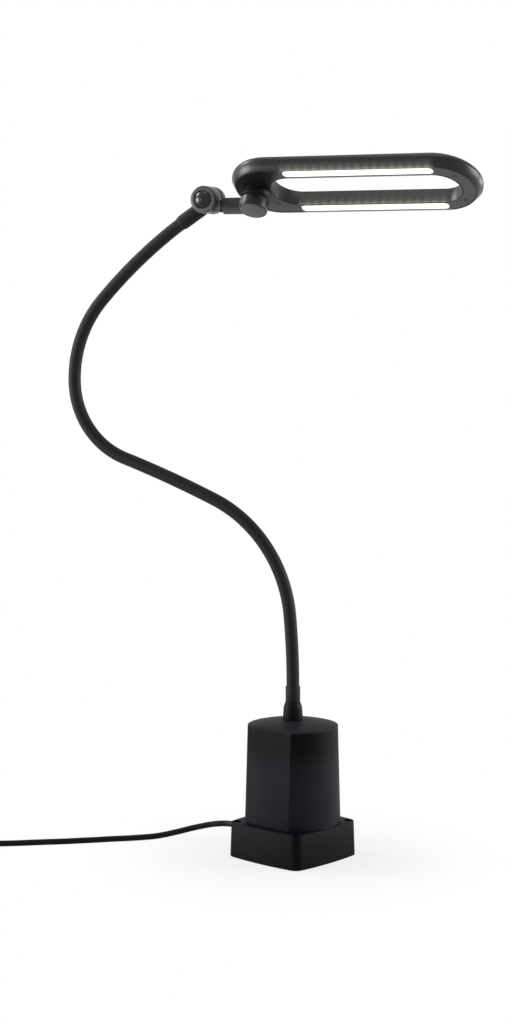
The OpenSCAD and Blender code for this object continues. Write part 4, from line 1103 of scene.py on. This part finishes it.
def lit_shell(place):
    """Head plastic, matt on top, with the scallops of light that the strips throw on its walls."""
    cloud, grains, tone = grained(place)
    u, v, n = (along(place, way) for way in (ACROSS, head_across, head_up))
    fade, hem, wash = (n.ramp(reach, 0.0, "LINEAR") for reach in (GLOW_RISE, GLOW_HEM, HEAD_T))
    near_wall = between(v, *NEAR_WALL)
    far_wall = between(v, *FAR_WALL)
    column = chip_wave(u) * SCALLOP + (1 - SCALLOP)
    scallops = (fade * fade * 0.5 + hem * hem * 0.5) * column * near_wall.most(far_wall)
    lips = between(v, *FAR_LIP).most(between(v, *SLOT_LIP) * SLOT_LIP_GLOW)
    lips = between(n, *LIP_LEVEL) * lips
    glow = (scallops + wash * column * far_wall * WASH + lips) * beside_strips(u, 4 * MM)
    top = n.ramp(HEAD_T - TOP_FADE, HEAD_T)
    return {
        "Base Color": blended(tone, paint("#1d1d21"), paint("#28282c")),
        "Roughness": cloud * 0.1 + top * TOP_MATT + 0.29,
        "Normal": dented(grains * (1 - top), 0.004 * MM),
        "Specular IOR Level": 0.25,
        "Emission Color": blended(glow, DARK, paint("#a3a294")),
        "Emission Strength": 0.7,
    }


head_plastic = finish("head_plastic", lit_shell)
settle("head_ring_shell", bm, head_plastic, "head", "head_shell")

# %% [markdown]
# ## The underside
# A grey plate closes the head from below. It has a window for each lit strip, a hole for each screw
# and the round boss of the swivel. All of its rims are drawn as rings in one plane, filled in one
# go, and the boss is then pulled down from its own ring. Round the swivel the plate is darkened to
# black by painted shade.

# %% Plastic of the plate
SHADE_END = 14 * MM
SHADE_SLANT = 0.6
SHADE_FADE = 8 * MM
WEB_GLOW = 1.5 * MM


def shaded_plate(place):
    """Grey plate with fine grain, darkened to black round the swivel by painted shade, and with a little
    painted glow beside the strips.
    """
    cloud, grains, tone = grained(place)
    # Painted shade: the plate turns black round the swivel, further out along the near side, and fades to
    # grey.
    slant = along(place, ACROSS + head_across * SHADE_SLANT)
    grey = slant.ramp(SHADE_END - SHADE_FADE, SHADE_END + SHADE_FADE)
    pale = blended(tone, paint("#4b4b4d"), paint("#5a5a5c"))
    black = blended(tone, paint("#0c0c0e"), paint("#141416"))
    u, v = (along(place, way) for way in (ACROSS, head_across))
    reach = STRIP_W / 2 + WEB_GLOW
    beside = between(v.maths("ABSOLUTE", v), STRIP_V - reach, STRIP_V + reach, 1 * MM)
    return {
        "Emission Color": blended(beside_strips(u, 2 * MM) * beside, DARK, paint("#4e4d49")),
        "Emission Strength": 0.8,
        "Base Color": blended(grey, black, pale),
        "Roughness": cloud * 0.12 + 0.45,
        "Normal": dented(grains, 0.05 * MM),
        "Specular IOR Level": 0.15,
    }


plate_grey = finish("plate_grey", shaded_plate)

# %% Underside plate
PLATE_LOW = 0.3 * MM
PLATE_T = 2 * MM
BOSS_H = 7 * MM
BOSS_EASE = 0.8 * MM
SCREW_HOLE_R = 2.75 * MM
FIT = 0.15 * MM
SCREW_SPOTS = [Vector((x, y, 0)) * MM for x in (14.7, 207.48) for y in (-21.71, 21.71)]
STRIP_ENDS = STRIP_HALF - STRIP_W / 2


def strip_ring(bm, side, radius, height):
    """The outline of a lit strip on one side of the slot."""
    return stadium(bm, radius, STRIP_MID - STRIP_ENDS, STRIP_MID + STRIP_ENDS, height, side * STRIP_V)


bm = bmesh.new()
lower = stadium(bm, HEAD_R - HEAD_RIM - FIT, HEAD_LEFT, HEAD_RIGHT, PLATE_LOW)
lower += stadium(bm, SLOT_R + HEAD_RIM + FIT, SLOT_LEFT, HEAD_RIGHT, PLATE_LOW)
for side in (-1, 1):
    lower += strip_ring(bm, side, STRIP_W / 2 + FIT, PLATE_LOW)
for spot in SCREW_SPOTS:
    lower += hole_ring(bm, spot + UPRIGHT * PLATE_LOW, SCREW_HOLE_R)
_, upper = lifted_rim(bm, lower, (0, 0, PLATE_T))
boss = hole_ring(bm, (0, 0, PLATE_LOW), KNUCKLE_R, SIDES)
filled(bm, lower + boss)
filled(bm, upper)
for drop, inset in ((BOSS_H + PLATE_LOW - BOSS_EASE, 0), (BOSS_EASE, BOSS_EASE)):
    pulled, boss = lifted_rim(bm, boss, (0, 0, -drop))
    shrink = 1 - inset / KNUCKLE_R
    bmesh.ops.scale(bm, vec=(shrink, shrink, 1), verts=pulled)
bmesh.ops.edgeloop_fill(bm, edges=boss)
moved(bm, head_frame)
settle("underside_plate", bm, plate_grey, "head", "head_frame")

# %% [markdown]
# ## Lit strips and screws
# Each strip is a milky cover over a row of light chips. It glows almost white, a shade whiter once
# for each chip, which a wave along the strip gives. The cover stands a little proud of the plate,
# with rounded edges. Small socket screws in the plate's own grey hold the plate.

# %% Diffuser strips
COVER_T = 3.4 * MM
COVER_EDGE = 0.5 * MM


def lit_cover(place):
    """Milky plastic with a frosted skin, lit from inside by a row of chips."""
    wave = chip_wave(along(place, ACROSS))
    frost = specks(place, 0.8 * MM, 1.0)
    return {
        "Base Color": blended(frost, paint("#ececea"), paint("#f6f6f2")),
        "Roughness": frost * 0.2 + 0.3,
        "Normal": dented(frost, 0.01 * MM),
        "Emission Color": blended(wave * 0.5 + 0.5, paint("#f7f6e6"), paint("#ffffff")),
        "Emission Strength": 1.0,
    }


diffuser_white = finish("diffuser_white", lit_cover)
for side, node in ((-1, "lens_near"), (1, "lens_far")):
    bm = bmesh.new()
    levels = [(COVER_EDGE, 0.0), (0.0, COVER_EDGE), (0.0, COVER_T)]
    rings = [strip_ring(bm, side, STRIP_W / 2 - inset, height) for inset, height in levels]
    joined(bm, rings, capped=True)
    moved(bm, head_frame)
    settle(node.replace("lens", "lit_cover"), bm, diffuser_white, "head", node)

# %% Head screws
SCREW_R = 2.4 * MM
SCREW_EASE = 0.3 * MM
SCREW_T = 1.5 * MM
SCREW_SIDES = 36
SOCKET_R = 1.1 * MM
SOCKET_DEEP = 0.8 * MM
SOCKET_SIDES = 6
screw = [
    (SCREW_R, SCREW_T, SCREW_SIDES), (SCREW_R, SCREW_EASE, SCREW_SIDES),
    (SCREW_R - SCREW_EASE, 0, SCREW_SIDES),
    (SOCKET_R, 0, SOCKET_SIDES), (SOCKET_R, SOCKET_DEEP, SOCKET_SIDES),
]
bm = bmesh.new()
for spot in SCREW_SPOTS:
    rings = [hole_ring(bm, spot + UPRIGHT * height, radius, sides) for radius, height, sides in screw]
    joined(bm, rings, capped=True)
moved(bm, head_frame)
settle("plate_screws", bm, plate_grey, "head", "head_screws")

# %% [markdown]
# ## Finishes for the CAD pieces that stay
# The parts inside the lamp keep their CAD shapes. Nobody sees most of them, but each still gets the
# finish of its real stuff: cast iron, zinc-plated steel, a green circuit board, yellow tape, rubber.

# %% Finishes for the inner parts
iron_cast = {"gloss": 0.3, "grain": 2 * MM, "depth": 0.2 * MM}
fibre_felt = {"gloss": 0.2, "grain": 0.9 * MM, "depth": 0.1 * MM}
CAD_FINISHES = {
    moulded("pad_rubber", "#131315", "#1c1c1e", 0.8, gloss=0.15): ["anti_slip_pad", "swivel_washer"],
    moulded("ballast_iron", "#4a4c4f", "#66686b", 0.7, **iron_cast): ["ballast_block"],
    brushed("steel", "#8a8b8e", "#b0b1b4", 0.35): [
        "ballast_bolt", "tower_screws", "board_standoffs", "neck_stud", "neck_washer", "neck_nut",
        "tilt_bolt", "tilt_nut", "roll_grub_screw", "arm_spigot", "swivel_bolt", "swivel_nut",
    ],
    moulded("board_green", "#23502e", "#2f6a3c", 0.4, gloss=0.5, grain=1 * MM): ["driver_board"],
    moulded("winding_tape", "#a8842c", "#c29a3a", 0.35, gloss=0.5, grain=1 * MM): ["driver_transformer"],
    moulded("capacitor_sleeve", "#1c2c48", "#263a5c", 0.35, gloss=0.5): ["driver_capacitors"],
    moulded("terminal_nylon", "#c9c9c4", "#dcdcd8", 0.5, gloss=0.4): ["terminal_block"],
    moulded("switch_black", "#121214", "#1a1a1d", 0.4, gloss=0.35): ["switch_bezel", "switch_rocker"],
    moulded("friction_fibre", "#6e5a34", "#8a7244", 0.8, **fibre_felt): ["tilt_washer"],
    brushed("rail_aluminium", "#a9aaad", "#c6c7ca", 0.4, (12, 1, 1)): ["led_rails"],
    moulded("board_white", "#dcdcd8", "#ececea", 0.4, gloss=0.5): ["led_boards"],
    moulded("chip_yellow", "#e3cf6a", "#f2e08a", 0.3, gloss=0.5): ["led_chips"],
}
for material, nodes in CAD_FINISHES.items():
    for node in nodes:
        mesh = frame["nodes"][node].data
        mesh.materials.clear()
        mesh.materials.append(material)
print("CAD pieces finished:", sum(len(nodes) for nodes in CAD_FINISHES.values()))

# %% [markdown]
# ## Floor, light and background
# The picture is a cut-out on white. A pale floor keeps a soft shadow under the lamp, and the white
# around it is the background as the camera sees it, not extra light. Three wide lamps give a plain
# level, at which a colour renders about as it is written, and three small ones add highlights.

# %% White background
AMBIENT = 0.09
WHITE = (1, 1, 1, 1)


def background_rays(start):
    """1 for the rays that see the background itself: camera, mirror and glass rays."""
    rays = ("Is Camera Ray", "Is Glossy Ray", "Is Transmission Ray")
    seen, mirrored, through = (start.node("ShaderNodeLightPath", {}, {}, ray) for ray in rays)
    return seen.most(mirrored.most(through))


world = bpy.data.worlds.new("white_studio")
world.use_nodes = True
scene.world = world
backdrop = world.node_tree.nodes["Background"]
backdrop.inputs["Color"].default_value = WHITE
strength = background_rays(Wire(world.node_tree)) * (1 - AMBIENT) + AMBIENT
feed(world.node_tree, backdrop.inputs["Strength"], strength)
print("light from the background:", AMBIENT)

# %% Pale floor
FLOOR_SIZE = 6
FLOOR_PALE = {"Base Color": (0.6, 0.6, 0.6, 1), "Roughness": 0.9, "Specular IOR Level": 0.0}
SHADOW_SHARE = 0.2
SHADOW_NEAR = 0.05
SHADOW_FAR = 0.22
pale = bpy.data.materials.new("pale_floor")
pale.use_nodes = True
tree = pale.node_tree
shader = tree.nodes["Principled BSDF"]
for socket, value in FLOOR_PALE.items():
    feed(tree, shader.inputs[socket], value)
start = Wire(tree)
white = start.node("ShaderNodeEmission", {}, {"Color": WHITE, "Strength": 1.0})
spot = start.node("ShaderNodeTexCoord", {}, {}, "Object")
away = spot.node("ShaderNodeVectorMath", {"operation": "LENGTH"}, {0: spot}, "Value")
clean = away.ramp(SHADOW_NEAR, SHADOW_FAR, **{"To Min": 1 - SHADOW_SHARE, "To Max": 1.0})
shares = {0: background_rays(start) * clean, 1: Wire(tree, shader.outputs[0]), 2: white}
mixed = start.node("ShaderNodeMixShader", {}, shares)
feed(tree, tree.nodes["Material Output"].inputs["Surface"], mixed)
bm = bmesh.new()
bmesh.ops.create_grid(bm, x_segments=1, y_segments=1, size=FLOOR_SIZE)
floor = made_object("pale_floor", bm, pale)
print("floor is", 2 * FLOOR_SIZE, "m wide")

# %% Soft lamps
LAMPS = {
    "left_window": ((-2.25, -0.95, 0.5), 1.2, 74),
    "right_window": ((2.3, 0.8, 0.8), 1.2, 66),
    "overhead": ((0.0, 0.0, 4.0), 2.4, 32),
    "left_high": ((-2.2, 0.1, 2.07), 0.8, 34),
    "back_right": ((1.45, 1.8, 0.35), 0.5, 13),
    "front_left": ((-1.2, -2.0, 0.5), 0.3, 6),
}
AIM = Vector((-0.03, 0, 0.35))
for name, (spot, size, watts) in LAMPS.items():
    lamp_data = bpy.data.lights.new(name, "AREA")
    lamp_data.size = size
    lamp_data.energy = watts
    lamp = bpy.data.objects.new(name, lamp_data)
    lamp.location = spot
    lamp.rotation_euler = (AIM - Vector(spot)).to_track_quat("-Z", "Y").to_euler()
    scene.collection.objects.link(lamp)
scene.view_settings.view_transform = "Standard"
print("lamps:", ", ".join(LAMPS))
